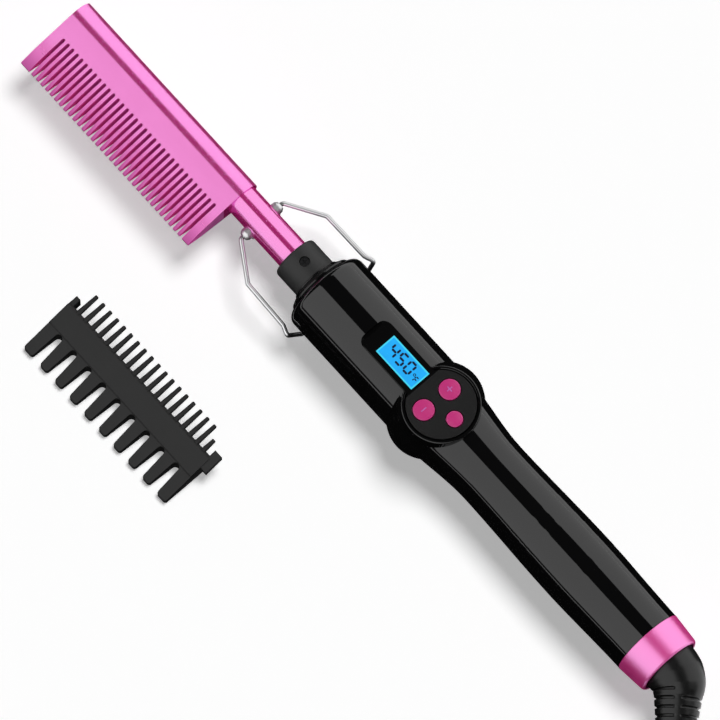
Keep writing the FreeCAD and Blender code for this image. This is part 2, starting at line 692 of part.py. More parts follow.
def comb_face():
    """The comb head's cross-section in the YZ plane: a round spine and a thin wedge."""
    shoulder = V(0, BEVEL_START, BEVEL_HALF)
    angle = math.atan2(BEVEL_HALF, BEVEL_START) + math.acos(SPINE_R / shoulder.Length)
    touch = V(0, SPINE_R * math.cos(angle), SPINE_R * math.sin(angle))
    tip = V(0, TEETH_REACH, TIP_HALF)
    outwards = V(0, BEVEL_HALF - TIP_HALF, TEETH_REACH - BEVEL_START).normalize()
    crown = (shoulder + tip) * 0.5 + outwards * BEVEL_CROWN

    def flip(p):
        return V(p.x, p.y, -p.z)

    edges = [
        Part.Arc(flip(touch), V(0, -SPINE_R, 0), touch).toShape(),
        Part.makeLine(touch, shoulder),
        Part.Arc(shoulder, crown, tip).toShape(),
        Part.makeLine(tip, flip(tip)),
        Part.Arc(flip(tip), flip(crown), flip(shoulder)).toShape(),
        Part.makeLine(flip(shoulder), flip(touch)),
    ]
    return Part.Face(Part.Wire(edges))


def comb_head():
    head = comb_face().extrude(V(COMB_LENGTH, 0, 0)).translated(V(COMB_REAR, 0, 0))
    head = head.cut(rod(BARREL_R + SEAT, COMB_REAR - 1, COMB_TIP + 1))
    half, deep = SLOT_WIDTH / 2, BEVEL_HALF + SPINE_R
    slots = []
    for i in range(SLOTS):
        x = COMB_TIP - END_TOOTH - half - i * SLOT_PITCH
        slots.append(block(x - half, x + half, SLOT_ROOT + half, TEETH_REACH + 1, -deep, deep))
        slots.append(post(half, x, SLOT_ROOT + half, -deep, deep))
    return head.cut(Part.makeCompound(slots))


def comb_tip_cap():
    """The plug that closes the comb head's bore at its tip."""
    cap = rod(BARREL_R, CAP_REAR, COMB_TIP - SEAT)
    rim = [e for e in cap.Edges if e.Closed and abs(e.CenterOfMass.x - (COMB_TIP - SEAT)) < 0.01]
    return cap.makeFillet(0.6, rim)


def heater_block(side):
    """One of the two half-round bars that carry the heat from the ceramics to the barrel."""
    gap = PTC_THICK / 2 + SEAT
    bar = rod(BARREL_BORE - FILM - 2 * SEAT, HEATER_REAR, HEATER_FRONT)
    wide = 2 * BARREL_R
    low, high = (gap, wide) if side > 0 else (-wide, -gap)
    return bar.common(block(HEATER_REAR, HEATER_FRONT, -wide, wide, low, high))


def heater_ceramics():
    pitch = (HEATER_LENGTH - PTC_LENGTH) / (PTC_COUNT - 1)
    half, thick = PTC_WIDTH / 2, PTC_THICK / 2
    starts = [HEATER_REAR + i * pitch for i in range(PTC_COUNT)]
    return Part.makeCompound([block(x, x + PTC_LENGTH, -half, half, -thick, thick) for x in starts])


def heater_film():
    outer = BARREL_BORE - SEAT
    return sleeve(outer, outer - FILM, HEATER_REAR, HEATER_FRONT)


def temperature_sensor():
    front = HEATER_REAR - SEAT
    z = BARREL_BORE / 2
    bead = Part.makeCylinder(SENSOR_R, SENSOR_LENGTH, V(front - SENSOR_LENGTH, 0, z), X)
    leg = Part.makeCylinder(SENSOR_R / 3, 8, V(front - SENSOR_LENGTH - 8, 0, z), X)
    return joined([bead, leg])


def heater_leads():
    """Two leads from the board's underside, through the barrel, to the heater."""
    start = POD_X + BOARD_FRONT - 4
    high = BOARD_BOTTOM - LEAD_R - 2 * SEAT
    leads = []
    for side in (-1, 1):
        wide, near = side * LEAD_START, side * LEAD_SPREAD
        route = [
            V(start, wide, high), V(start + 2 * LEAD_BEND, wide, high),
            V(BARREL_REAR - LEAD_BEND, near, 0), V(HEATER_REAR - SENSOR_LENGTH, near, 0),
        ]
        leads.append(swept(route, LEAD_R, LEAD_BEND))
    return Part.makeCompound(leads)


# ---- bent round bars -----------------------------------------------------------
def bent_path(points, bend=None):
    """Straight runs joined by tangent arcs. Without a bend, each arc is as wide as its runs allow."""
    edges, radii, start = [], [], points[0]
    for before, corner, after in zip(points, points[1:], points[2:]):
        back = (before - corner).normalize()
        on = (after - corner).normalize()
        half_turn = (math.pi - back.getAngle(on)) / 2
        shorter = min((before - corner).Length, (after - corner).Length)
        trim = 0.45 * shorter if bend is None else bend * math.tan(half_turn)
        radius = trim / math.tan(half_turn)
        radii.append(radius)
        enter, leave = corner + back * trim, corner + on * trim
        middle = corner + (back + on).normalize() * (radius / math.cos(half_turn) - radius)
        edges += [Part.makeLine(start, enter), Part.Arc(enter, middle, leave).toShape()]
        start = leave
    edges.append(Part.makeLine(start, points[-1]))
    return Part.Wire(edges), radii


def swept(points, radius, bend=None):
    """A round bar along a bent path."""
    path, radii = bent_path(points, bend)
    circle = Part.Wire(Part.makeCircle(radius, points[0], points[1] - points[0]))
    bar = path.makePipeShell([circle], True, False)
    expected = math.pi * radius**2 * path.Length
    off = bar.Volume / expected - 1
    if bend is None:
        print(f"cord tube {path.Length:.1f} long, volume off by {off:.2%}, radii", [round(r) for r in radii])
    elif abs(off) > 0.01:
        print(f"bent bar {path.Length:.1f} long, volume off by {off:.2%}")
    return bar


# ---- wire stand ------------------------------------------------------------------
def stand_bracket():
    """A saddle under the barrel with an ear on each side that the stand's wire hooks into."""
    half = EAR_LENGTH / 2
    wide = 2 * BARREL_R
    saddle = sleeve(BARREL_R + SEAT + SADDLE, BARREL_R + SEAT, PIVOT_X - half, PIVOT_X + half)
    saddle = saddle.common(block(PIVOT_X - half, PIVOT_X + half, -wide, wide, -wide, 0))
    taper_start = EAR_REACH - EAR_TAPER
    ear = Part.makeCylinder(EAR_R, taper_start, V(PIVOT_X, 0, 0), Y)
    ear = ear.fuse(Part.makeCone(EAR_R, EAR_TIP_R, EAR_TAPER, V(PIVOT_X, taper_start, 0), Y))
    ear = ear.cut(rod(BARREL_R + SEAT, PIVOT_X - 2 * half, PIVOT_X + 2 * half))
    hole = Part.makeCylinder(WIRE_R + RUN, EAR_REACH, V(PIVOT_X, PIN_START - MOVE, 0), Y)
    bracket = joined([saddle, *both_sides(ear)])
    return bracket.cut(Part.makeCompound(both_sides(hole)))


def stand_route():
    foot_z = FLOOR + WIRE_R
    near = [
        V(PIVOT_X, PIN_START, 0),
        V(PIVOT_X, PIN_TURN, 0),
        V(PIVOT_X - LEG_BACK, LEG_OUT, -LEG_SAG),
        V(PIVOT_X - FLARE_BACK, FLARE_OUT, -FLARE_SAG),
        V(PIVOT_X - FOOT_BACK, FOOT_OUT, -FLARE_SAG),
        V(PIVOT_X - FOOT_BACK, FOOT_HALF, foot_z),
    ]
    return near + [V(p.x, -p.y, p.z) for p in reversed(near)]


def wire_stand():
    return swept(stand_route(), WIRE_R, PIN_BEND)


# ---- end ring and swivel ---------------------------------------------------------
def end_ring():
    slope = (TAIL_R - RING_REAR_R) / RING_LENGTH
    round_off = 0.7
    outline = [
        (HANDLE_REAR - SEAT, TAIL_R - RING_WALL), (HANDLE_REAR - SEAT, TAIL_R - 0.1),
        (HANDLE_REAR - SEAT - 0.2, TAIL_R + 0.05), (RING_REAR + round_off, RING_REAR_R + slope * round_off),
        (RING_REAR, RING_REAR_R - round_off), (RING_REAR, RING_MOUTH_R),
        (SPIGOT_REAR - SEAT, RING_MOUTH_R), (SPIGOT_REAR - SEAT, TAIL_R - RING_WALL),
    ]
    return turned(outline)


def swivel_socket():
    """The bush that the swivel turns in. Its shoulder stops the swivel from pulling out."""
    outer = SPIGOT_BORE - SEAT
    shoulder = sleeve(outer, SWIVEL_R + RUN, SOCKET_REAR, SHOULDER_FRONT)
    skirt = sleeve(outer, SWIVEL_FLANGE_R + MOVE, SHOULDER_FRONT, SOCKET_FRONT)
    return joined([shoulder, skirt])


def swivel_flange_rear():
    return SHOULDER_FRONT + MOVE


def spindle_front():
    return swivel_flange_rear() + SWIVEL_FLANGE + SPINDLE_LENGTH


def slip_starts():
    front = spindle_front() - 1
    return [front - SLIP_WIDTH - i * SLIP_PITCH for i in range(2)]


def swivel_core():
    """The turning part of the swivel: a stub in the boot, a journal, a flange and a spindle."""
    flange = swivel_flange_rear()
    pieces = [
        rod(BOOT_STUB_R, BOOT_FRONT - BOOT_STUB, BOOT_FRONT + 1),
        rod(SWIVEL_R, BOOT_FRONT + SEAT, flange + 0.1),
        rod(SWIVEL_FLANGE_R, flange, flange + SWIVEL_FLANGE),
        rod(SPINDLE_R, flange, spindle_front()),
    ]
    return joined(pieces)


def slip_rings():
    return Part.makeCompound([sleeve(SLIP_R, SPINDLE_R + SEAT, x, x + SLIP_WIDTH) for x in slip_starts()])


def brush_holder():
    """The block under the slip rings that carries the two contact strips."""
    x0, x1 = slip_starts()[1] - 1.5, spindle_front()
    top = -SLIP_R - 2.5
    half = BRUSH_DEPTH + 1
    holder = block(x0, x1, -half, half, -TAIL_R, top)
    holder = holder.common(rod(TAIL_R - WALL - SEAT, SOCKET_FRONT + SEAT, x1 + 1))
    return holder.cut(Part.makeCompound([strip_block(x, SEAT) for x in slip_starts()]))


def strip_block(x, grow):
    middle = x + SLIP_WIDTH / 2
    half, wide = BRUSH_WIDTH / 2 + grow, BRUSH_DEPTH / 2 + grow
    return block(middle - half, middle + half, -wide, wide, -SLIP_R - 4.5 - grow, -SLIP_R - MOVE)


def brush_contacts():
    return Part.makeCompound([strip_block(x, 0) for x in slip_starts()])


# ---- cord boot and cord ------------------------------------------------------------
def boot_point(d):
    """The boot's middle line at a distance along it, from its front face."""
    turn = math.radians(BOOT_TURN)
    arc = BOOT_BEND * turn
    x, y = BOOT_FRONT - min(d, BOOT_NECK), 0.0
    swept_angle = min(max(d - BOOT_NECK, 0), arc) / BOOT_BEND
    x -= BOOT_BEND * math.sin(swept_angle)
    y += BOOT_BEND * (1 - math.cos(swept_angle))
    rest = max(d - BOOT_NECK - arc, 0)
    x -= rest * math.cos(turn)
    y += rest * math.sin(turn)
    t = min(max(d / boot_length(), 0), 1)
    return V(x, y, -BOOT_DROP * (3 * t**2 - 2 * t**3))


def boot_length():
    return BOOT_SECTIONS[-1][0]


def boot_direction(d):
    step = 0.01
    return (boot_point(d + step) - boot_point(d - step)).normalize()


def boot_radius(d):
    for (a, ra), (b, rb) in zip(BOOT_SECTIONS, BOOT_SECTIONS[1:]):
        if d <= b:
            return ra + (rb - ra) * (d - a) / (b - a)
    return BOOT_SECTIONS[-1][1]


def boot_groove(d):
    """Two cuts that go round the boot's sides and leave a spine on top and one below."""
    radius = boot_radius(d)
    core, spine = GROOVE_CORE * radius, GROOVE_SPINE * radius
    half, wide = GROOVE_WIDTH / 2, 1.5 * radius
    cut = post(wide, 0, 0, -half, half).cut(post(core, 0, 0, -1 - half, half + 1))
    cut = cut.cut(block(-spine, spine, -wide, wide, -1 - half, half + 1))
    cut.Placement = facing(boot_point(d), boot_direction(d))
    return cut


def cord_boot():
    slices = [boot_length() * i / BOOT_SLICES for i in range(BOOT_SLICES + 1)]
    wires = [ring_wire(boot_radius(d), boot_point(d), boot_direction(d)) for d in slices]
    boot = Part.makeLoft(wires, True, False)
    boot = boot.cut(rod(BOOT_STUB_R + SEAT, BOOT_FRONT - BOOT_STUB - SEAT, BOOT_FRONT + 1))
    for i in range(GROOVES):
        boot = boot.cut(boot_groove(GROOVE_FIRST + i * GROOVE_PITCH))
    return boot


def lay_frame():
    """Where the boot ends, and the level directions along the cord and to its left."""
    tip = boot_point(boot_length())
    turn = math.radians(BOOT_TURN)
    ahead = V(-math.cos(turn), math.sin(turn), 0)
    left = V(math.sin(turn), math.cos(turn), 0)
    return tip, ahead, left


def laid(points, start, ahead, left):
    return [start + ahead * a + left * b + Z * c for a, b, c in points]


def coil_side():
    """The point where the cord meets the side of the coil, at the boot tip's height."""
    tip, ahead, _ = lay_frame()
    return tip + ahead * COIL_AHEAD


def coil_middle():
    _, _, left = lay_frame()
    side = coil_side() + left * COIL_OUTER_TURN
    return V(side.x, side.y, FLOOR)


def power_cord():
    tip, ahead, left = lay_frame()
    return swept(laid(LEAD_IN, tip, ahead, left), CORD_R)


def tail_route():
    _, ahead, left = lay_frame()
    side = coil_side()
    return laid(LEAD_OUT, V(side.x, side.y, FLOOR + CORD_R), ahead, left)


def cord_tail():
    return swept(tail_route(), CORD_R)


def tie_loop():
    """A strap round the coil's bundle, on the side away from the boot."""
    _, ahead, left = lay_frame()
    inner, outer = COIL_INNER - TIE_THICK + TIE_BITE, COIL_OUTER + TIE_THICK - TIE_BITE
    top = COIL_HEIGHT + TIE_THICK - TIE_BITE
    half = TIE_WIDTH / 2
    strap = block(inner, outer, -half, half, 0, top)
    x0, x1 = inner + TIE_THICK, outer - TIE_THICK
    strap = strap.cut(block(x0, x1, -half - 1, half + 1, TIE_THICK, top - TIE_THICK))
    angle = math.degrees(math.atan2(left.y, left.x))
    return strap.rotated(O, Z, angle).translated(coil_middle())


def cord_coil():
    outer = Part.makeCylinder(COIL_OUTER, COIL_HEIGHT).cut(Part.makeCylinder(COIL_INNER, COIL_HEIGHT))
    outer = outer.makeFillet(COIL_EDGE, [e for e in outer.Edges if e.Closed])
    return outer.translated(coil_middle()).cut(tie_loop())


def plug_frame():
    """The plug's start, at the cord's end, and the level direction it points in."""
    route = tail_route()
    on = route[-1] - route[-2]
    return route[-1], V(on.x, on.y, 0).normalize()


def placed_plug(shape):
    """Moves a piece built along X from the cord's end to where the plug lies."""
    end, on = plug_frame()
    return shape.rotated(O, Z, math.degrees(math.atan2(on.y, on.x))).translated(end)


def plug_axis():
    """Height of the plug's middle above the cord's end."""
    end, _ = plug_frame()
    return FLOOR + PLUG_HEIGHT / 2 - end.z


def plug_body():
    half, z = PLUG_WIDTH / 2, plug_axis()
    x0 = RELIEF_LENGTH
    body = block(x0, x0 + PLUG_LENGTH, -half, half, z - PLUG_HEIGHT / 2, z + PLUG_HEIGHT / 2)
    rounded = [e for e in body.Edges if e.BoundBox.XLength > 1 or e.BoundBox.XMin < x0 + 1]
    body = body.makeFillet(PLUG_EDGE, rounded)
    route = tail_route()
    last = route[-1] - route[-2]
    small = ring_wire(CORD_R + 0.9, O, V(math.hypot(last.x, last.y), 0, last.z).normalize())
    large = ring_wire(RELIEF_R, V(x0 + 1, 0, z), X)
    relief = Part.makeLoft([small, large], True, True)
    body = joined([body, relief])
    return placed_plug(body.cut(blades_blank(SEAT)))


def blades_blank(grow):
    face = RELIEF_LENGTH + PLUG_LENGTH
    x0, x1 = face - BLADE_ROOT - grow, face + BLADE_LENGTH
    z = plug_axis()
    half, thick = BLADE_WIDTH / 2 + grow, BLADE_THICK / 2 + grow
    blades = []
    for y in (-BLADE_SPREAD / 2, BLADE_SPREAD / 2):
        blades.append(block(x0, x1, y - thick, y + thick, z - half, z + half))
    return Part.makeCompound(blades)


def plug_blades():
    return placed_plug(blades_blank(0))


# ---- clip-on comb ----------------------------------------------------------------
def clip_top(y):
    """Height of the clip-on comb's upper face above the floor, y from its middle."""
    return CLIP_TIP_TOP + CLIP_SLOPE * (CLIP_TIP - y)


def clip_extrude(corners, x0, x1):
    """A solid from (y, z) corners, along X."""
    face = polygon([V(x0, y, z) for y, z in corners])
    return face.extrude(V(x1 - x0, 0, 0))


def tip_corner(x, side):
    """What leaves a tooth's tip when its corner at x, which points to side, is rounded."""
    tall = clip_top(-CLIP_FINE_TIP)
    middle = x - side * BIG_TIP_ROUND
    back = CLIP_TIP - BIG_TIP_ROUND
    corner = block(min(middle, x + side), max(middle, x + side), back, CLIP_TIP + 1, -1, tall - 1)
    return corner.cut(post(BIG_TIP_ROUND, middle, back, -2, tall))


def big_gap(x):
    """The space between two big teeth: it widens towards the tips and has a round root."""
    root = (BIG_PITCH - BIG_ROOT_WIDTH) / 2
    tip = (BIG_PITCH - BIG_TIP_WIDTH) / 2
    start = CLIP_BIG_ROOT + root
    right = [(root, start), (tip, CLIP_TIP - BIG_TIP_ROUND), (tip, CLIP_TIP + 1)]
    corners = [*right, *[(-a, b) for a, b in reversed(right)]]
    tall = clip_top(-CLIP_FINE_TIP)
    gap = polygon([V(x + a, b, -1) for a, b in corners]).extrude(V(0, 0, tall))
    return joined([gap, post(root, x, start, -1, tall - 1), tip_corner(x + tip, -1), tip_corner(x - tip, 1)])


def fine_tooth(x, shorter=0):
    """A thin tooth that leaves the back of the band and rises a little."""
    y0, y1 = 1 - CLIP_BACK, shorter - CLIP_FINE_TIP
    z0, z1 = clip_top(y0), clip_top(-CLIP_BACK) + CLIP_FINE_RISE
    ends = []
    for y, z, width, thick in (
        (y0, z0, FINE_ROOT, FINE_ROOT_THICK),
        (y1, z1, FINE_TIP, FINE_TIP_THICK),
    ):
        half = width / 2
        corners = [(x - half, z), (x + half, z), (x + half, z - thick), (x - half, z - thick)]
        ends.append(polygon([V(a, y, b) for a, b in corners]).OuterWire)
    return Part.makeLoft(ends, True, True)


def comb_attachment():
    """A wedge-shaped channel with coarse teeth at its closed edge and fine teeth at its back."""
    half = CLIP_LENGTH / 2
    back = -CLIP_BACK
    drop = CLIP_WALL * math.sqrt(1 + CLIP_SLOPE**2)
    closed = CLIP_TIP - 2 * CLIP_WALL
    bevel = 0.3 * CLIP_WALL
    foot = CLIP_STEP_AT + CLIP_STEP
    outer = [
        (CLIP_TIP, bevel), (CLIP_TIP - 2 * bevel, 0), (back, 0), (back, clip_top(back) - CLIP_EASE),
        (back + CLIP_EASE, clip_top(back + CLIP_EASE)), (CLIP_STEP_AT, clip_top(CLIP_STEP_AT)),
        (foot, clip_top(foot) - CLIP_STEP), (CLIP_TIP - bevel, clip_top(CLIP_TIP - bevel) - CLIP_STEP),
        (CLIP_TIP, CLIP_TIP_TOP - CLIP_STEP - bevel),
    ]
    inner = [
        (closed, CLIP_WALL), (back - 1, CLIP_WALL), (back - 1, clip_top(back - 1) - drop),
        (closed, clip_top(closed) - drop),
    ]
    body = clip_extrude(outer, -half, half).cut(clip_extrude(inner, -half - 1, half + 1))
    gaps = [big_gap((i - BIG_TEETH / 2) * BIG_PITCH) for i in range(1, BIG_TEETH)]
    body = body.cut(Part.makeCompound(gaps))
    last = half - FINE_FIRST
    places = [last - i * FINE_PITCH for i in range(FINE_TEETH)]
    teeth = [fine_tooth(x) for x in places[:-1]]
    teeth.append(fine_tooth(places[-1], FINE_LAST_SHORT))
    high = clip_top(back) - CLIP_WALL / 2
    knob = block(half - END_WALL, half, back - KNOB_REACH, back + CLIP_WALL / 4, high - KNOB_HEIGHT, high)
    rear = back - LATCH_REACH
    front = rear + LATCH_LENGTH
    sink = CLIP_WALL / 4
    bar = [
        (rear, clip_top(rear) - sink), (front, clip_top(front) - sink),
        (front, clip_top(front) - LATCH_HEIGHT), (rear, clip_top(rear) - LATCH_HEIGHT),
    ]
    latch = clip_extrude(bar, -half - LATCH_OUT, CLIP_WALL / 2 - half)
    end = clip_extrude(outer, half - END_WALL, half)
    body = joined([body, *teeth, end, latch, knob]).cut(tip_corner(half, 1)).cut(tip_corner(-half, -1))
    return body.translated(V(CLIP_X, CLIP_Y, FLOOR))


# ---- the whole object ------------------------------------------------------------
def build():
    shell = handle_shell()
    nodes = {
        "comb_head": comb_head(),
        "comb_tip_cap": comb_tip_cap(),
        "barrel_tube": barrel_tube(),
        "heater_block_upper": heater_block(1),
        "heater_block_lower": heater_block(-1),
        "heater_ceramics": heater_ceramics(),
        "heater_film": heater_film(),
        "temperature_sensor": temperature_sensor(),
        "heater_leads": heater_leads(),
        "stand_bracket": stand_bracket(),
        "wire_stand": wire_stand(),
        "barrel_collar": barrel_collar(),
        "collar_screw": collar_screw(),
        "nose_ring": nose_ring(),
        "handle_upper_shell": handle_upper_shell(shell),
        "handle_lower_shell": handle_lower_shell(shell),
        "shell_screws": shell_screws(),
        "control_bezel": control_bezel(),
        "display_window": display_window(),
        "display_module": display_module(),
        "display_holder": display_holder(),
        "control_board": control_board(),
        "board_components": board_components(),
        "board_screws": board_screws(),
        "tact_switches": tact_switches(),
        "end_ring": end_ring(),
        "swivel_socket": swivel_socket(),
        "brush_holder": brush_holder(),
        "brush_contacts": brush_contacts(),
        "swivel_core": swivel_core(),
        "slip_rings": slip_rings(),
        "cord_boot": cord_boot(),
        "power_cord": power_cord(),
        "cord_coil": cord_coil(),
        "cord_tie": tie_loop(),
        "cord_tail": cord_tail(),
        "plug_body": plug_body(),
        "plug_blades": plug_blades(),
        "comb_attachment": comb_attachment(),
    }
    for name in BUTTONS:
        nodes[f"{name}_button"] = button_cap(name)
        nodes[f"{name}_plunger"] = switch_plunger(name)
    return nodes


CORD_NODES = ("power_cord", "cord_coil", "cord_tie", "cord_tail", "plug_body", "plug_blades")


def origin_shift(nodes):
    """The move that puts the origin under the middle of the object, without its cord."""
    own = Part.makeCompound([shape for name, shape in nodes.items() if name not in CORD_NODES])
    box = own.optimalBoundingBox(False, False)
    return V(-(box.XMin + box.XMax) / 2, -(box.YMin + box.YMax) / 2, -box.ZMin)


os.makedirs("parts", exist_ok=True)
NODES = build()
SHIFT = origin_shift(NODES)
for node, solid in NODES.items():
    solid = solid.translated(SHIFT)
    solid.exportStep(f"parts/{node}.step")
print(f"origin moved by {-SHIFT.x:.3f}, {-SHIFT.y:.3f}, {-SHIFT.z:.3f}")
pivot = V(PIVOT_X, 0, 0) + SHIFT
print(f"stand pivot at {pivot.x:.3f}, {pivot.y:.3f}, {pivot.z:.3f}")
print(f"cord turns in the coil: mean radius {COIL_MEAN_R}, {COIL_ROWS} by {COIL_ROWS}")
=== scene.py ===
# %% [markdown]
# # An electric hot comb
#
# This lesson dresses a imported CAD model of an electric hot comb: a heated metal comb on a round
# handle, with a small display, three buttons, a wire stand, a loose clip-on comb and a mains cord.
# The CAD model fixes every place and size. Blender adds the rounded edges, the finishes and the
# light. Each step says what the real piece is, how it could be made, and why it is made this way.

import json
import math

import bmesh
import bpy
from mathutils import Matrix, Vector


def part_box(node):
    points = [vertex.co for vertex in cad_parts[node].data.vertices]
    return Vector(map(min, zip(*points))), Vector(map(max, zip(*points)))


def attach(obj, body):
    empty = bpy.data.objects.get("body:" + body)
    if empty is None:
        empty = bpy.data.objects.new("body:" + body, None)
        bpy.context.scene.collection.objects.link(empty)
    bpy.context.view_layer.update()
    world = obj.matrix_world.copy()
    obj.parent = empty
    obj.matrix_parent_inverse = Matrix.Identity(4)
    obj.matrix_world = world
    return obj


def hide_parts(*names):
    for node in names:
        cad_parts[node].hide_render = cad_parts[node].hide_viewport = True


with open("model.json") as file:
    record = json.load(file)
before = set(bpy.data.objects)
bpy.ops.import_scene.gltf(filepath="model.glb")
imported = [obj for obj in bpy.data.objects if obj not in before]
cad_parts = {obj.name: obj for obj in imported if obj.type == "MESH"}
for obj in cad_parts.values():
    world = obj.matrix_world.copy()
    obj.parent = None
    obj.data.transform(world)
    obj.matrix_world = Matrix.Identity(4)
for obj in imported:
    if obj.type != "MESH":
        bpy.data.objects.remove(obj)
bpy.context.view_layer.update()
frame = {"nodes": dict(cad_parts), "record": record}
nodes = frame["nodes"]
MM = 0.001

# %% [markdown]
# ## The tool's own axis
#
# The CAD model is drawn along the tool's axis, and then moved so that the origin lies on the table.
# Lengths are easier to read along the tool, so place() turns a point on the tool, in millimetres,
# into a point of the scene. X is zero at the middle of the end ring, Y points the way the comb's
# teeth point, and Z is up from the axis. The ring's own box says where that is.

# %% From the tool to the scene
ring_low, ring_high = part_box("end_ring")
RING_HALF = 6.2
ORIGIN = Vector((ring_low.x + RING_HALF * MM, (ring_low.y + ring_high.y) / 2,
                 (ring_low.z + ring_high.z) / 2))


def place(x, y, z):
    return ORIGIN + Vector((x, y, z)) * MM


FLOOR = -ORIGIN.z / MM
print("the axis is", round(-FLOOR, 2), "mm above the table")

# %% [markdown]
# ## The camera
#
# The object lies on a table, and the camera looks down on it from the side of the handle's end.
# It stands far off with a long lens, so the tool keeps its shape from end to end.

# %% The camera
AZIMUTH, ELEVATION = math.radians(228.5), math.radians(75.0)
CAMERA_DISTANCE, FRAME_WIDTH, SENSOR_WIDTH, CLIP_END = 8.0, 0.265, 36, 40
AIM = (156.2, 8.05, 0)
back = Vector(
    (math.sin(AZIMUTH) * math.cos(ELEVATION), -math.cos(AZIMUTH) * math.cos(ELEVATION), math.sin(ELEVATION))
)
target = place(*AIM)
camera_data = bpy.data.cameras.new("camera")
camera_data.sensor_width = SENSOR_WIDTH
camera_data.lens = SENSOR_WIDTH * CAMERA_DISTANCE / FRAME_WIDTH
camera_data.clip_end = CLIP_END
camera = bpy.data.objects.new("camera", camera_data)
camera.location = target + back * CAMERA_DISTANCE
camera.rotation_euler = (-back).to_track_quat("-Z", "Y").to_euler()
scene = bpy.context.scene
scene.collection.objects.link(camera)
scene.camera = camera
scene.view_settings.view_transform = "Standard"
print("lens", round(camera_data.lens), "mm")

# %% [markdown]
# ## The cord
#
# A round mains cord, 5.5 mm thick, leaves the boot at the end of the swivel. Most of its length is
# put away in a neat coil, wound three turns wide and three high, and it ends in a plug. A cord could
# be a chain of tubes, but one smooth spline bends as a real cord does. Its points are the route
# itself. The coil's turns are more points of the same spline, each turn in its own place in the
# bundle, and the cord steps from one place to the next a little before a full turn, so that no two
# turns meet.

# %% The cord's route
CORD_R = 2.75
BOOT_TURN = math.radians(45)
AHEAD = Vector((-math.cos(BOOT_TURN), math.sin(BOOT_TURN), 0))
LEFT = Vector((math.sin(BOOT_TURN), math.cos(BOOT_TURN), 0))
BOOT_TIP = Vector((-45.343, 33.944, -5.2))
# where the coil starts, ahead of the boot
COIL_SIDE = BOOT_TIP + AHEAD * 29.0
COIL_OUTER_TURN, OUTER_ROW = 38.5, 2
# the skin lies this far inside the cord's true radius, so that no two turns touch
SKIN_IN = 0.04
# along the cord, to its left, above its start
LEAD_IN = ((0, 0, 0), (9, 0, 0), (18, 0.2, -0.1))
# along the cord, to its left, above the table
LEAD_OUT = ((9, 0.2, CORD_R), (19, 0.9, CORD_R), (37, -3.0, CORD_R + 0.9), (54, -9.5, CORD_R + 4.6))
# the turns' places in the bundle, in order: row out from the middle, layer above the table
PLACES = ((2, 2), (1, 2), (0, 2), (0, 1), (0, 0), (1, 0), (1, 1), (2, 1), (2, 0))
PLACE_ANGLE, STEP_ANGLE = 320.0, 40.0
TURN_POINTS = 18


def turn_place(angle):
    """Radius and height of the coiled cord at an angle, in degrees from where it enters."""
    index = min(int(angle // PLACE_ANGLE), len(PLACES) - 1)
    into = angle - index * PLACE_ANGLE - (PLACE_ANGLE - STEP_ANGLE)
    t = min(max(into / STEP_ANGLE, 0), 1)
    t = t * t * (3 - 2 * t)
    here = PLACES[index]
    there = PLACES[min(index + 1, len(PLACES) - 1)]
    row = here[0] + (there[0] - here[0]) * t
    layer = here[1] + (there[1] - here[1]) * t
    step = 2 * CORD_R
    return COIL_OUTER_TURN + (row - OUTER_ROW) * step, CORD_R + layer * step


def cord_points():
    points = [BOOT_TIP + AHEAD * a + LEFT * b + Vector((0, 0, c)) for a, b, c in LEAD_IN]
    middle = COIL_SIDE + LEFT * COIL_OUTER_TURN
    total = PLACE_ANGLE * len(PLACES)
    count = round(total / 360 * TURN_POINTS)
    swell = 1 / math.cos(math.pi / TURN_POINTS)
    for i in range(count + 1):
        angle = total * i / count
        radius, height = turn_place(angle)
        phi = math.radians(angle)
        around = AHEAD * math.sin(phi) - LEFT * math.cos(phi)
        points.append(Vector((middle.x, middle.y, FLOOR + height)) + around * radius * swell)
    for a, b, c in LEAD_OUT:
        side = COIL_SIDE + AHEAD * a + LEFT * b
        points.append(Vector((side.x, side.y, FLOOR + c)))
    return [place(*p) for p in points]


route = cord_points()
print("the route has", len(route), "points")

# %% One smooth line along it
def smooth_line(name, points):
    """A curve that a cord follows: its points pull it, and it starts and ends on them."""
    curve = bpy.data.curves.new(name, "CURVE")
    curve.dimensions = "3D"
    spline = curve.splines.new("NURBS")
    spline.points.add(len(points) - 1)
    for point, co in zip(spline.points, points):
        point.co = (*co, 1)
    spline.order_u = 3
    spline.use_endpoint_u = True
    spline.resolution_u = 6
    return curve


cord_curve = smooth_line("mains_cord", route)
cord_curve.bevel_depth = (CORD_R - SKIN_IN) * MM
cord_curve.bevel_resolution = 5
cord_curve.use_fill_caps = True
mains_cord = bpy.data.objects.new("mains_cord", cord_curve)
scene.collection.objects.link(mains_cord)
print("cord:", cord_curve.splines[0].type, "order", cord_curve.splines[0].order_u)

# %% [markdown]
# ## Building with nodes
#
# Finishes, the room and repeated shapes are all trees of nodes. Wiring a tree takes many lines, so a
# few helpers add a node, feed its inputs by name, and do a step of arithmetic. They are short, so that
# the cells after them read as a list of what a finish holds.

# %% Node helpers
def feed(tree, socket, value):
    """Join an output to a socket, or set a plain value on it. A colour may leave out its alpha."""
    if isinstance(value, bpy.types.NodeSocket):
        tree.links.new(value, socket)
    elif value is not None:
        socket.default_value = (*value, 1) if socket.type == "RGBA" and len(value) == 3 else value


def put(tree, node, **values):
    """Feed a node's inputs by name."""
    for key, value in values.items():
        feed(tree, node.inputs[key.replace("_", " ")], value)
    return node


def add(tree, kind, settings=None, **values):
    """A new node, with its settings and its inputs."""
    node = tree.nodes.new(kind)
    for key, value in (settings or {}).items():
        setattr(node, key, value)
    return put(tree, node, **values)


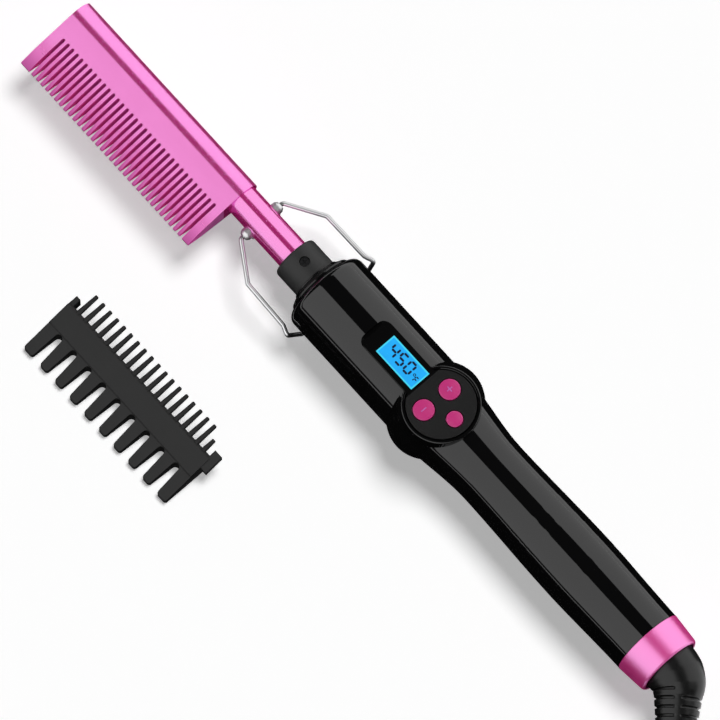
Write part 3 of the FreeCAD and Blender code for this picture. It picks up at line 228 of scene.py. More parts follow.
def calc(tree, operation, a, b=None):
    """One step of arithmetic, with numbers or outputs."""
    node = add(tree, "ShaderNodeMath", {"operation": operation})
    feed(tree, node.inputs[0], a)
    feed(tree, node.inputs[1], b)
    return node.outputs[0]


def split(tree, kind="Object"):
    """The X, Y and Z of a texture coordinate."""
    point = tree.nodes.new("ShaderNodeTexCoord").outputs[kind]
    return add(tree, "ShaderNodeSeparateXYZ", Vector=point).outputs


def mask(tree, value, low, high):
    """0 below one value, 1 above another, and smooth between."""
    step = add(tree, "ShaderNodeMapRange", {"interpolation_type": "SMOOTHSTEP"}, Value=value,
               From_Min=low, From_Max=high)
    return step.outputs["Result"]


def opened(material):
    """A material's tree and its shader."""
    material.use_nodes = True
    return material.node_tree, material.node_tree.nodes["Principled BSDF"]


def seen_directly(tree):
    """1 for what the camera sees, and for what gloss and glass show of it."""
    path = tree.nodes.new("ShaderNodeLightPath")
    either = calc(tree, "MAXIMUM", path.outputs["Is Camera Ray"], path.outputs["Is Glossy Ray"])
    return calc(tree, "MAXIMUM", either, path.outputs["Is Transmission Ray"])


print("helpers:", [helper.__name__ for helper in (feed, put, add, calc, split, mask, opened, seen_directly)])

# %% [markdown]
# ## The table and the light
#
# The table is one big white sheet. Two long soft boxes stand on either side of the tool, with a dark
# gap straight above it. A round glossy handle mirrors them as two grey bands with a black line
# between, which is how such tools are usually shown. They light the tool and not the table, which
# gives a share of its white itself and stays even. A soft overhead lamp gives the short shadow beside
# the tool. It is kept out of mirrored views, so that the black line stays black.

# %% The table
REACH = 40.0
FLOOR_TONE = 0.93
# the share of the table's white that the lamps don't make
OWN_LIGHT = 0.4


def sheet(name, x0, x1, y0, y1, z, material):
    """A level sheet of one colour, which is part of the studio and not of the tool."""
    mesh = bpy.data.meshes.new(name)
    mesh.from_pydata([(x0, y0, z), (x1, y0, z), (x1, y1, z), (x0, y1, z)], [], [(0, 1, 2, 3)])
    mesh.materials.append(material)
    obj = bpy.data.objects.new(name, mesh)
    scene.collection.objects.link(obj)
    return obj


white = bpy.data.materials.new("white_table")
tree, shader = opened(white)
put(tree, shader, Base_Color=(FLOOR_TONE, FLOOR_TONE, FLOOR_TONE), Roughness=0.9, Specular_IOR_Level=0.1,
    Emission_Color=(1, 1, 1), Emission_Strength=calc(tree, "MULTIPLY", seen_directly(tree), OWN_LIGHT))
table = sheet("table", -REACH, REACH, -REACH, REACH, 0, white)
print("table", 2 * REACH, "m wide")

# %% The lamps
TOOL_MIDDLE = place(156, 0, 0)
BOX_LENGTH, BOX_DISTANCE, BOX_LEVEL = 2.6, 1.1, 1.05
SUN_LEVEL, SUN_WIDTH, SUN_TILT = 2.03, 24, 19


def soft_box(name, angle, spread):
    """A long lamp beside the tool. Its angle is from straight up towards -Y, in degrees."""
    data = bpy.data.lights.new(name, "AREA")
    data.shape = "RECTANGLE"
    data.size = BOX_LENGTH
    data.size_y = 2 * BOX_DISTANCE * math.tan(math.radians(spread / 2))
    data.energy = BOX_LEVEL * math.pi * data.size * data.size_y
    lamp = bpy.data.objects.new(name, data)
    turn = math.radians(angle)
    lamp.location = TOOL_MIDDLE + Vector((0, -math.sin(turn), math.cos(turn))) * BOX_DISTANCE
    lamp.rotation_euler = (turn, 0, 0)
    lamp.visible_camera = False
    scene.collection.objects.link(lamp)
    return lamp


left_box = soft_box("soft_box_left", -47, 74)
right_box = soft_box("soft_box_right", 60.5, 59)
not_the_table = bpy.data.collections.new("not_the_table")
not_the_table.objects.link(table)
not_the_table.collection_objects[0].light_linking.link_state = "EXCLUDE"
for lamp in (left_box, right_box):
    lamp.light_linking.receiver_collection = not_the_table
# a narrow lamp between them, for the pink metal alone
metal_box = soft_box("soft_box_metal", 28, 6)
pink_metal = bpy.data.collections.new("pink_metal")
metal_box.light_linking.receiver_collection = pink_metal
sun_data = bpy.data.lights.new("soft_sun", "SUN")
sun_data.energy = SUN_LEVEL
sun_data.angle = math.radians(SUN_WIDTH)
sun = bpy.data.objects.new("soft_sun", sun_data)
sun.rotation_euler = (math.radians(SUN_TILT), 0, 0)
sun.visible_glossy = False
scene.collection.objects.link(sun)
print("lamps:", left_box.name, right_box.name, metal_box.name, sun.name)

# %% [markdown]
# ## The dark around it
#
# Where the tool mirrors the table and the far end of the room, it would turn grey all round. A studio
# lays black cards beside a glossy thing. Here they lie flat beside the tool, are seen only in mirrored
# views, and throw no shadow, so the table stays white. The room is dark too, but its backdrop is
# white where the camera sees it.

# %% The black cards
CARD_X0, CARD_X1, CARD_LIFT = -20, 335, 0.15
card_black = bpy.data.materials.new("card_black")
put(*opened(card_black), Base_Color=(0.005, 0.005, 0.005), Roughness=1, Specular_IOR_Level=0)


def black_card(name, y0, y1):
    low, high = place(CARD_X0, y0, FLOOR + CARD_LIFT), place(CARD_X1, y1, FLOOR + CARD_LIFT)
    card = sheet(name, low.x, high.x, low.y, high.y, low.z, card_black)
    card.visible_camera = card.visible_diffuse = card.visible_shadow = card.visible_transmission = False
    return card


cards = [black_card("card_left", 1, 500), black_card("card_right", -105, -1)]
print("cards:", [card.name for card in cards])

# %% The room
DARK = 0.02
world = bpy.data.worlds.new("studio")
world.use_nodes = True
tree = world.node_tree
height = add(tree, "ShaderNodeMapRange", {"interpolation_type": "SMOOTHSTEP"},
             Value=split(tree, "Generated")["Z"], From_Min=0.02, From_Max=0.16, To_Min=0.06, To_Max=0.015)
wall = calc(tree, "MULTIPLY", height.outputs["Result"], seen_directly(tree))
backdrop = tree.nodes.new("ShaderNodeLightPath").outputs["Is Camera Ray"]
level = calc(tree, "MAXIMUM", calc(tree, "MAXIMUM", wall, backdrop), DARK)
put(tree, tree.nodes["Background"], Color=(1, 1, 1), Strength=level)
scene.world = world
print("room: white behind the tool, dark in its reflections")

# %% [markdown]
# ## Shared effects
#
# Moulded plastic, anodised metal and rubber have the same kinds of small faults: a fine grain, marks
# from handling, a slight drift of tone, and edges that rub bare. On the clip-on comb, the same edge
# effect darkens the edges instead, as painted edge shade. Each effect is a node group with named
# inputs, built once and placed in every material with that material's own values. The groups read
# Object coordinates. Every piece has its origin at the scene's, so a pattern runs on from piece to
# piece.

# %% Group helpers
def effect(name, numbers, result):
    """An empty node group with number inputs and one output, and its two end nodes."""
    group = bpy.data.node_groups.new(name, "ShaderNodeTree")
    for title, value in numbers.items():
        group.interface.new_socket(title, in_out="INPUT", socket_type="NodeSocketFloat").default_value = value
    group.interface.new_socket(result, in_out="OUTPUT", socket_type="NodeSocketFloat")
    given = group.nodes.new("NodeGroupInput").outputs
    return group, given, group.nodes.new("NodeGroupOutput").inputs[0]


def object_point(tree, stretch=(1, 1, 1)):
    """Object coordinates, stretched where a pattern is drawn out."""
    point = tree.nodes.new("ShaderNodeTexCoord").outputs["Object"]
    return add(tree, "ShaderNodeMapping", Vector=point, Scale=stretch).outputs["Vector"]


def noise(tree, scale, detail=2.0, stretch=(1, 1, 1)):
    node = add(tree, "ShaderNodeTexNoise", Vector=object_point(tree, stretch), Scale=scale, Detail=detail)
    return node.outputs["Fac"]


print("helpers:", [helper.__name__ for helper in (effect, object_point, noise)])

# %% Fine grain, for the height of a bump
fine_grain, given, result = effect("fine_grain", {"Scale": 3000.0, "Drawn Out": 0.0}, "Height")
even = noise(fine_grain, given["Scale"], 3.0)
drawn = noise(fine_grain, given["Scale"], 3.0, (0.03, 1, 1))
both = calc(fine_grain, "MULTIPLY", calc(fine_grain, "SUBTRACT", drawn, even), given["Drawn Out"])
fine_grain.links.new(calc(fine_grain, "ADD", even, both), result)
print(fine_grain.name, "has", len(fine_grain.nodes), "nodes")

# %% Handling marks, for roughness
handling_marks, given, result = effect("handling_marks", {"Roughness": 0.3, "Spread": 0.05}, "Roughness")
smudge = noise(handling_marks, 70.0, 4.0)
hairline = noise(handling_marks, 1500.0, 2.0, (0.08, 1, 1))
marks = calc(handling_marks, "SUBTRACT", calc(handling_marks, "ADD", smudge, hairline), 1.0)
spread = calc(handling_marks, "MULTIPLY", marks, given["Spread"])
handling_marks.links.new(calc(handling_marks, "ADD", given["Roughness"], spread), result)
print(handling_marks.name, "has", len(handling_marks.nodes), "nodes")

# %% Tone, as a brightness near 1
tone_drift, given, result = effect("tone_drift", {"Drift": 0.05, "Scale": 120.0}, "Brightness")
drift = calc(tone_drift, "SUBTRACT", noise(tone_drift, given["Scale"], 3.0), 0.5)
tone_drift.links.new(
    calc(tone_drift, "ADD", calc(tone_drift, "MULTIPLY", drift, given["Drift"]), 1.0), result
)
print(tone_drift.name, "has", len(tone_drift.nodes), "nodes")

# %% Edge wear, and on the clip-on comb painted edge shade, from how sharply the surface turns
edge_wear, given, result = effect("edge_wear", {"Amount": 0.3}, "Worn")
edge = edge_wear.nodes.new("ShaderNodeAttribute")
edge.attribute_name = "edge"
rubbed_or_shaded = add(edge_wear, "ShaderNodeMapRange", Value=noise(edge_wear, 900.0, 4.0), From_Min=0.42, From_Max=0.7)
worn_or_shaded = calc(edge_wear, "MULTIPLY", edge.outputs["Fac"], rubbed_or_shaded.outputs["Result"])
edge_wear.links.new(calc(edge_wear, "MULTIPLY", worn_or_shaded, given["Amount"]), result)
print("groups:", [g.name for g in bpy.data.node_groups])

# %% [markdown]
# ## The finishes
#
# What a finish needs beyond that is added to it after. The parts inside are finished too, because the
# shells come off in some uses of the model.

# %% A finish from the shared effects
def placed(tree, group, **values):
    """A shared effect, placed in a material with its own values."""
    return add(tree, "ShaderNodeGroup", {"node_tree": group}, **values).outputs[0]


def blend_colours(tree, factor, first, second):
    """Mix two colours, each a triple or an output."""
    node = add(tree, "ShaderNodeMix", {"data_type": "RGBA"})
    for index, value in ((0, factor), (6, first), (7, second)):
        feed(tree, node.inputs[index], value)
    return node.outputs[2]


FINISHES = {}


def finish(name, colour, rough, spread=0.04, drift=0.06, scale=3000.0, depth=4e-6, drawn=0.0,
           metal=0.0, wear_or_shade=0.2, bare_or_shaded=None, colour_change=None, **sockets):
    """A material: base colour, handling marks, grain and edge wear, which on the clip-on comb is painted edge
    shade, and plain numbers on its sockets.
    """
    material = FINISHES[name] = bpy.data.materials.new(name)
    tree, shader = opened(material)
    base = colour if colour_change is None else colour_change(tree, colour)
    toned = add(tree, "ShaderNodeHueSaturation", Color=base, Value=placed(tree, tone_drift, Drift=drift))
    worn_or_shaded_colour = bare_or_shaded or tuple(c + (0.25 - c) * 0.3 for c in colour)
    height = placed(tree, fine_grain, Scale=scale, Drawn_Out=drawn)
    bump = add(tree, "ShaderNodeBump", Height=height, Strength=0.6, Distance=depth)
    put(tree, shader, Normal=bump.outputs["Normal"], Metallic=metal,
        Base_Color=blend_colours(tree, placed(tree, edge_wear, Amount=wear_or_shade), toned.outputs[0], worn_or_shaded_colour),
        Roughness=placed(tree, handling_marks, Roughness=rough, Spread=spread), **sockets)
    return material


def source(shader, name):
    """What feeds a shader's input so far."""
    return shader.inputs[name].links[0].from_socket


print("groups to place:", [group.name for group in (fine_grain, handling_marks, tone_drift, edge_wear)])

# %% The pink metal
# the dye in the metal's skin, its tint where it mirrors, a darker tint towards the tips that is painted
# shade, and how strongly it mirrors
DYE, BARE_PINK = (0.74, 0.02, 0.26), (0.8, 0.3, 0.6)
MIRROR_TINT, COMB_TINT, TIP_SHADE_TINT = (1.0, 0.47, 0.92), (1.0, 0.45, 0.95), (0.42, 0.12, 0.36)
MIRROR_INDEX = 9.5
# painted shade: a deeper pink towards the teeth's tips, and the slots' walls' own pink, set for how their
# shade looks
TIP_PAINTED_SHADE, SLOT_SHADE_PINK = (0.26, 0.02, 0.1), (0.85, 0.08, 0.42)
# from the tool's axis: where the tips' painted shade starts and is full, and where the slots start
TIP_SHADE_FROM, TIP_SHADE_FULL, SLOTS_FROM, SLOTS_FULL = 11, 28, 8.8, 9.2


def comb_masks(tree):
    """1 towards the comb's tips, where shade is painted, and 1 on the walls of its slots."""
    across, facing = split(tree)["Y"], split(tree, "Normal")["X"]
    tips = mask(tree, across, place(0, TIP_SHADE_FROM, 0).y, place(0, TIP_SHADE_FULL, 0).y)
    walls = calc(tree, "MULTIPLY", mask(tree, calc(tree, "ABSOLUTE", facing), 0.5, 0.9),
                 mask(tree, across, place(0, SLOTS_FROM, 0).y, place(0, SLOTS_FULL, 0).y))
    return tips, walls


def comb_colours(tree, colour):
    """Painted shade: the comb's pink deepens towards the tips, and the slots' walls get their own pink, set
    for how their shade looks.
    """
    tips, walls = comb_masks(tree)
    return blend_colours(tree, walls, blend_colours(tree, tips, colour, TIP_PAINTED_SHADE), SLOT_SHADE_PINK)


finish("pink_comb", DYE, 0.2, 0.05, 0.05, 2500, 5e-6, 0.6, 0.0, 0.35, BARE_PINK, comb_colours,
       IOR=MIRROR_INDEX)
# painted shade: the mirror's tint darkens towards the tips. The tips are rougher too, and the saw left the
# slots' walls dull
tree, shader = opened(FINISHES["pink_comb"])
tips, walls = comb_masks(tree)
dull = calc(tree, "ADD", 1.0, calc(tree, "ADD", tips, calc(tree, "MULTIPLY", walls, 2.0)))
put(tree, shader, Specular_Tint=blend_colours(tree, tips, COMB_TINT, TIP_SHADE_TINT),
    Roughness=calc(tree, "MULTIPLY", source(shader, "Roughness"), dull))
finish("pink_barrel", DYE, 0.17, 0.05, 0.05, 2500, 4e-6, 0.8, 0.0, 0.35, BARE_PINK,
       IOR=MIRROR_INDEX, Specular_Tint=MIRROR_TINT)
finish("pink_ring", (0.86, 0.02, 0.28), 0.31, 0.04, 0.05, 3500, 5e-6, 0.0, 0.0, 0.35, BARE_PINK,
       IOR=8.5, Specular_Tint=(0.94, 0.5, 0.92))
# the CAD record has one name for the comb's metal and the barrel's
FINISHES["pink_aluminium"] = FINISHES["pink_barrel"]
print("pink finishes:", list(FINISHES))

# %% The black plastics and rubbers
finish("handle_plastic", (0.0016, 0.0016, 0.0017), 0.045, 0.03, 0.3, 500, 1.5e-6, wear_or_shade=0.02, IOR=1.62)
finish("nose_plastic", (0.002, 0.002, 0.002), 0.14, 0.05, 0.3, 900, 2e-6, wear_or_shade=0.05, IOR=1.55)
finish("bezel_plastic", (0.008, 0.008, 0.008), 0.36, 0.06, 0.25, 4200, 5e-6, wear_or_shade=0.1)
# the neck round the display is polished, and darker than the disc
POLISHED_FROM, POLISHED_FULL, POLISH, POLISHED_BLACK = 130.6, 131.0, 0.75, (0.002, 0.002, 0.002)
tree, shader = opened(FINISHES["bezel_plastic"])
neck = add(tree, "ShaderNodeMapRange", Value=split(tree)["X"], From_Min=place(POLISHED_FROM, 0, 0).x,
           From_Max=place(POLISHED_FULL, 0, 0).x).outputs["Result"]
smoother = calc(tree, "SUBTRACT", 1.0, calc(tree, "MULTIPLY", neck, POLISH))
put(tree, shader, Roughness=calc(tree, "MULTIPLY", source(shader, "Roughness"), smoother),
    Base_Color=blend_colours(tree, neck, source(shader, "Base Color"), POLISHED_BLACK))
finish("collar_plastic", (0.018, 0.018, 0.018), 0.5, 0.06, 0.2, 3600, 9e-6, wear_or_shade=0.15, Specular_IOR_Level=0.4)
# painted shade: a darker colour on the clip-on comb's narrow edges, standing in for the shade at its edges
finish("clip_plastic", (0.014, 0.014, 0.014), 0.55, 0.06, 0.2, 3200, 9e-6, wear_or_shade=0.9,
       bare_or_shaded=(0.003, 0.003, 0.003), Specular_IOR_Level=0.35)
finish("boot_rubber", (0.004, 0.004, 0.004), 0.3, 0.05, 0.2, 2600, 8e-6, wear_or_shade=0.1)
finish("cord_rubber", (0.008, 0.008, 0.008), 0.42, 0.06, 0.2, 2600, 8e-6, 0.5, wear_or_shade=0.1)
finish("plug_rubber", (0.009, 0.009, 0.009), 0.45, 0.06, 0.2, 2600, 9e-6, wear_or_shade=0.12)
print("finishes so far:", len(FINISHES))

# %% The rest
finish("button_pink", (0.42, 0.026, 0.15), 0.3, 0.05, 0.08, 3000, 4e-6, wear_or_shade=0.3, bare_or_shaded=(0.75, 0.2, 0.45))
finish("chrome_wire", (0.92, 0.92, 0.93), 0.32, 0.05, 0.04, 1200, 1e-6, 0.8, 1.0, 0.1, (0.7, 0.7, 0.7))
finish("bracket_steel", (0.93, 0.93, 0.94), 0.45, 0.06, 0.05, 1500, 2e-6, 0.0, 1.0, 0.2, (0.6, 0.6, 0.6))
finish("screw_steel", (0.07, 0.07, 0.072), 0.4, 0.08, 0.1, 2500, 4e-6, 0.0, 1.0, 0.3, (0.5, 0.5, 0.5))
finish("heater_aluminium", (0.72, 0.72, 0.73), 0.38, 0.08, 0.08, 1800, 6e-6, 0.9, 1.0, 0.2, (0.8, 0.8, 0.8))
finish("contact_brass", (0.72, 0.48, 0.16), 0.28, 0.08, 0.1, 1800, 4e-6, 0.5, 1.0, 0.2, (0.8, 0.6, 0.3))
finish("ceramic", (0.55, 0.53, 0.48), 0.6, 0.06, 0.1, 3200, 8e-6, wear_or_shade=0.1)
finish("polyimide", (0.48, 0.2, 0.02), 0.2, 0.06, 0.15, 900, 3e-6, wear_or_shade=0.05)
finish("sensor_glass", (0.02, 0.02, 0.025), 0.15, 0.04, 0.2, 900, 2e-6, wear_or_shade=0.05)
finish("lead_sleeving", (0.62, 0.6, 0.55), 0.7, 0.08, 0.12, 3800, 2e-5, wear_or_shade=0.1)
finish("holder_plastic", (0.03, 0.03, 0.032), 0.5, 0.06, 0.2, 3200, 8e-6, wear_or_shade=0.1)
finish("board", (0.02, 0.11, 0.045), 0.4, 0.08, 0.15, 1500, 5e-6, wear_or_shade=0.1)
finish("components", (0.035, 0.035, 0.04), 0.45, 0.08, 0.3, 1500, 5e-6, wear_or_shade=0.15)
finish("switch_case", (0.05, 0.05, 0.052), 0.45, 0.06, 0.2, 2500, 5e-6, wear_or_shade=0.1)
finish("switch_plunger", (0.5, 0.5, 0.48), 0.4, 0.06, 0.1, 2500, 5e-6, wear_or_shade=0.1)
finish("swivel_plastic", (0.02, 0.02, 0.021), 0.4, 0.06, 0.2, 2600, 6e-6, wear_or_shade=0.1)
finish("display_digit", (0.002, 0.006, 0.03), 0.4, 0.03, 0.1, 3000, 2e-6, wear_or_shade=0.0)
finish("display_panel", (0.12, 0.14, 0.13), 0.3, 0.05, 0.1, 1500, 4e-6, wear_or_shade=0.0)
finish("button_mark", (0.4, 0.1, 0.32), 0.35, 0.05, 0.08, 3000, 3e-6, wear_or_shade=0.2)
print("finishes:", len(FINISHES))

# %% The lit display
FACE_BLUE, BORDER_CYAN = (0.0116, 0.392, 0.896), (0.06, 0.68, 0.87)
# the dark rim of the glass, and where the lit border ends, inside that rim
UNLIT_RIM, BORDER_FROM, BORDER_TO = 0.75, 0.3, 0.7
glass = finish("display_glass", (0.01, 0.03, 0.05), 0.08, 0.03, 0.1, 900, 1e-6, wear_or_shade=0.0,
               Emission_Strength=1.0)
tree, shader = opened(glass)
spot = split(tree)
low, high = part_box("display_window")
rim = Vector((UNLIT_RIM, UNLIT_RIM, 0)) * MM
lit_low, lit_high = low + rim, high - rim
nearest = None
for out, near, far in ((spot["X"], lit_low.x, lit_high.x), (spot["Y"], lit_low.y, lit_high.y)):
    inside = calc(tree, "MINIMUM", calc(tree, "SUBTRACT", out, near), calc(tree, "SUBTRACT", far, out))
    nearest = inside if nearest is None else calc(tree, "MINIMUM", nearest, inside)
patches = add(tree, "ShaderNodeHueSaturation", Color=FACE_BLUE,
              Value=placed(tree, tone_drift, Drift=0.25, Scale=400.0))
middle = mask(tree, nearest, BORDER_FROM * MM, BORDER_TO * MM)
put(tree, shader, Emission_Color=blend_colours(tree, middle, BORDER_CYAN, patches.outputs[0]))
print("display face", [round(v / MM, 1) for v in lit_high - lit_low], "mm")

# %% Woven tape
THREADS, THREAD_HIGH = 260.0, 0.1
tape = finish("tie_fabric", (0.02, 0.02, 0.022), 0.85, 0.05, 0.2, 900, 2e-5, wear_or_shade=0.0, Sheen_Weight=0.4)
tree, shader = opened(tape)
across, along = (add(tree, "ShaderNodeTexWave", {"bands_direction": way}, Vector=object_point(tree),
                     Scale=THREADS).outputs["Fac"] for way in ("X", "Z"))
weave = add(tree, "ShaderNodeBump", Height=calc(tree, "MAXIMUM", across, along), Strength=0.8,
            Distance=THREAD_HIGH * MM)
put(tree, shader, Normal=weave.outputs["Normal"])
print("tape:", tape.name)

# %% [markdown]
# ## Making pieces
#
# Most pieces on this tool are round, so they are turned: an outline of places along an axis and radii
# from it, swept round. Flat pieces are prisms, carved by other prisms, as a mould maker would cut
# them. Both get small rounded edges, because no real edge is perfectly sharp, and a rounded edge is
# what catches the light.

# %% Outlines
def arc(x, y, radius, start, end, steps):
    """Places on a circle from one angle to another, in degrees."""
    turns = [math.radians(start + (end - start) * k / steps) for k in range(steps + 1)]
    return [(x + radius * math.cos(turn), y + radius * math.sin(turn)) for turn in turns]


def rectangle(x0, x1, y0, y1):
    return [(x0, y0), (x1, y0), (x1, y1), (x0, y1)]


def eased(points, radius, steps=4, closed=True):
    """The same outline with its corners rounded. radius is one number, or one for each corner."""
    radii = radius if isinstance(radius, (list, tuple)) else [radius] * len(points)
    out = []
    for i, (corner, r) in enumerate(zip(points, radii)):
        if r <= 0 or (not closed and i in (0, len(points) - 1)):
            out.append(tuple(corner))
            continue
        corner = Vector(corner)
        ends = []
        for other in (points[i - 1], points[(i + 1) % len(points)]):
            side = Vector(other) - corner
            ends.append(corner + side.normalized() * min(r, 0.45 * side.length))
        for k in range(steps + 1):
            t = k / steps
            out.append(tuple(ends[0] * (1 - t) ** 2 + corner * 2 * t * (1 - t) + ends[1] * t**2))
    return out


print("helpers:", [helper.__name__ for helper in (arc, rectangle, eased)])

# %% Round pieces and prisms
X, Y, Z = Vector((1, 0, 0)), Vector((0, 1, 0)), Vector((0, 0, 1))


def clean(mesh):
    """Merge doubles and point the faces outwards."""
    bm = bmesh.new()
    bm.from_mesh(mesh)
    bmesh.ops.remove_doubles(bm, verts=bm.verts, dist=1e-7)
    bmesh.ops.dissolve_degenerate(bm, edges=bm.edges, dist=1e-8)
    bmesh.ops.recalc_face_normals(bm, faces=bm.faces)
    bm.to_mesh(mesh)
    bm.free()
    return mesh


def turned(name, outline, centre=(0, 0, 0), axis=X, steps=96):
    """A mesh from a closed outline of (along, radius) corners, turned round an axis."""
    one = Y if axis == X else X
    two = axis.cross(one)
    verts, faces = [], []
    count = len(outline)
    for k in range(steps):
        turn = 2 * math.pi * k / steps
        out = one * math.cos(turn) + two * math.sin(turn)
        verts += [place(*(Vector(centre) + axis * a + out * max(r, 0))) for a, r in outline]
    for k in range(steps):
        here, there = k * count, (k + 1) % steps * count
        for i in range(count):
            j = (i + 1) % count
            faces.append((here + i, here + j, there + j, there + i))
    mesh = bpy.data.meshes.new(name)
    mesh.from_pydata(verts, [], faces)
    return clean(mesh)


def tube(start, end, outer, inner=0.0, centre=(0, 0, 0), axis=X, steps=96):
    """A tube along an axis, or a rod where it has no inner radius."""
    outline = [(start, inner), (start, outer), (end, outer), (end, inner)]
    return turned("tube", outline, centre, axis, steps)


def prism(name, outline, low, high, axis=Z):
    """A flat outline, extruded from low to high: (x, y) along Z, (y, z) along X, (x, z) along Y."""
    def at(a, b, c):
        return place(a, b, c) if axis == Z else place(c, a, b) if axis == X else place(a, c, b)

    count = len(outline)
    verts = [at(a, b, low) for a, b in outline] + [at(a, b, high) for a, b in outline]
    faces = [tuple(range(count))[::-1], tuple(range(count, 2 * count))]
    faces += [(i, (i + 1) % count, count + (i + 1) % count, count + i) for i in range(count)]
    mesh = bpy.data.meshes.new(name)
    mesh.from_pydata(verts, [], faces)
    return clean(mesh)


print("helpers:", [helper.__name__ for helper in (clean, turned, tube, prism)])

# %% Carving and rounding
def thing(name, mesh):
    obj = bpy.data.objects.new(name, mesh)
    scene.collection.objects.link(obj)
    return obj


def baked(obj, name):
    """The object with its modifiers applied, as a plain mesh on a new object."""
    bpy.context.view_layer.update()
    mesh = bpy.data.meshes.new_from_object(obj.evaluated_get(bpy.context.evaluated_depsgraph_get()))
    bpy.data.objects.remove(obj)
    mesh.name = name
    return thing(name, mesh)


def carved(obj, cutters, kind="DIFFERENCE"):
    """Cut closed meshes out of an object, or join them to it."""
    for mesh in cutters:
        tool = thing("cutter", mesh)
        modifier = obj.modifiers.new("carve", "BOOLEAN")
        modifier.operation, modifier.solver, modifier.object = kind, "EXACT", tool
        obj = baked(obj, obj.name)
        bpy.data.objects.remove(tool)
    return obj


def rounded(obj, width, segments=2, above=35):
    """Round every edge that turns by more than an angle."""
    modifier = obj.modifiers.new("round", "BEVEL")
    modifier.width = width * MM
    modifier.segments = segments
    modifier.limit_method = "ANGLE"
    modifier.angle_limit = math.radians(above)
    return obj


print("helpers:", [helper.__name__ for helper in (thing, baked, carved, rounded)])

# %% Finishing a piece
SMOOTH_UNDER = math.radians(32)
# a face narrower than this, in millimetres, that turns this far, in degrees, is an edge that rubs, and on the
# clip-on comb an edge that gets painted shade
NARROW, SHARP_TURN = 0.4, 30


def mark_edges(mesh):
    """Mark each narrow face that turns outwards from its neighbours, for the edge wear, and the clip-on
    comb's painted edge shade, to read.
    """
    bm = bmesh.new()
    bm.from_mesh(mesh)
    layer = bm.faces.layers.float.new("edge")
    for face in bm.faces:
        width = face.calc_area() / max(edge.calc_length() for edge in face.edges)
        turn = max(edge.calc_face_angle_signed(0.0) for edge in face.edges)
        if width < NARROW * MM:
            face[layer] = min(max(turn, 0) / math.radians(SHARP_TURN), 1)
    bm.to_mesh(mesh)
    bm.free()


def dress(obj, body, slot_name, *nodes_replaced, material=None):
    """Finish a piece: apply what is live, shade it, give it its finish, and hand it to its body."""
    name = obj.name
    obj = baked(obj, name)
    mesh = obj.data
    mesh.polygons.foreach_set("use_smooth", [True] * len(mesh.polygons))
    mesh.set_sharp_from_angle(angle=SMOOTH_UNDER)
    mark_edges(mesh)
    # large faces keep their own direction, so they stay flat where they meet a rounded edge
    obj.modifiers.new("even", "WEIGHTED_NORMAL").keep_sharp = True
    obj = baked(obj, name)
    obj.data.materials.clear()
    obj.data.materials.append(material or FINISHES[slot_name])
    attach(obj, body)
    if nodes_replaced:
        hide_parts(*nodes_replaced)
    print(name, len(obj.data.polygons), "faces")
    return obj


print("helpers:", [helper.__name__ for helper in (mark_edges, dress)])

# %% [markdown]
# ## The comb head
#
# The heated head is one aluminium extrusion: a round spine over the heater, and a plate that thins to
# a wedge. Its teeth are what is left when a saw cuts narrow slots in from the edge. It could be built
# tooth by tooth. Cutting the slots is closer to how it is made, and Geometry Nodes repeat the cut, so
# the number, the pitch and the place of the slots stay adjustable.

# %% A tree that repeats a cut
def node_tree(name, inputs):
    """A geometry tree with named inputs, and its two end nodes."""
    tree = bpy.data.node_groups.new(name, "GeometryNodeTree")
    tree.interface.new_socket("Geometry", in_out="INPUT", socket_type="NodeSocketGeometry")
    for title, kind in inputs.items():
        tree.interface.new_socket(title, in_out="INPUT", socket_type="NodeSocket" + kind)
    tree.interface.new_socket("Geometry", in_out="OUTPUT", socket_type="NodeSocketGeometry")
    return tree, tree.nodes.new("NodeGroupInput").outputs, tree.nodes.new("NodeGroupOutput").inputs[0]


def ends_in(tree, geometry, given, result):
    """Every tree ends in Realize Instances and Set Material, because an export drops instances."""
    real = add(tree, "GeometryNodeRealizeInstances", Geometry=geometry)
    finished = add(tree, "GeometryNodeSetMaterial", Geometry=real.outputs[0], Material=given["Material"])
    tree.links.new(finished.outputs[0], result)


def in_a_row(tree, given, size=(1, 1, 1)):
    """Copies of one object on a straight row of points."""
    row = add(tree, "GeometryNodeMeshLine", Count=given["Count"], Start_Location=given["Start"],
              Offset=given["Step"])
    one = add(tree, "GeometryNodeObjectInfo", {"transform_space": "ORIGINAL"}, Object=given["Piece"])
    return add(tree, "GeometryNodeInstanceOnPoints", Points=row.outputs[0],
               Instance=one.outputs["Geometry"], Scale=size)


ROW = {"Piece": "Object", "Count": "Int", "Start": "Vector", "Step": "Vector", "Material": "Material"}
cut_row, given, result = node_tree("cut_in_a_row", ROW)
cutters = add(cut_row, "GeometryNodeRealizeInstances", Geometry=in_a_row(cut_row, given).outputs[0])
cut = add(cut_row, "GeometryNodeMeshBoolean", {"operation": "DIFFERENCE", "solver": "EXACT"})
cut_row.links.new(given["Geometry"], cut.inputs["Mesh 1"])
cut_row.links.new(cutters.outputs[0], cut.inputs["Mesh 2"])
ends_in(cut_row, cut.outputs["Mesh"], given, result)


def repeated(obj, tree, name, **values):
    """Run a tree on an object with its named inputs set, and keep what it makes as a plain mesh."""
    modifier = obj.modifiers.new(tree.name, "NODES")
    modifier.node_group = tree
    for item in tree.interface.items_tree:
        if item.in_out == "INPUT" and item.name in values:
            modifier[item.identifier] = values[item.name]
    obj = baked(obj, name)
    bpy.data.objects.remove(values["Piece"])
    return obj


def from_zero(name, mesh):
    """A piece for a tree to repeat. A tree adds the place, so the piece lies round the scene's zero."""
    mesh.transform(Matrix.Translation(-ORIGIN))
    return thing(name, mesh)


print("tree:", cut_row.name, "inputs:", list(ROW))

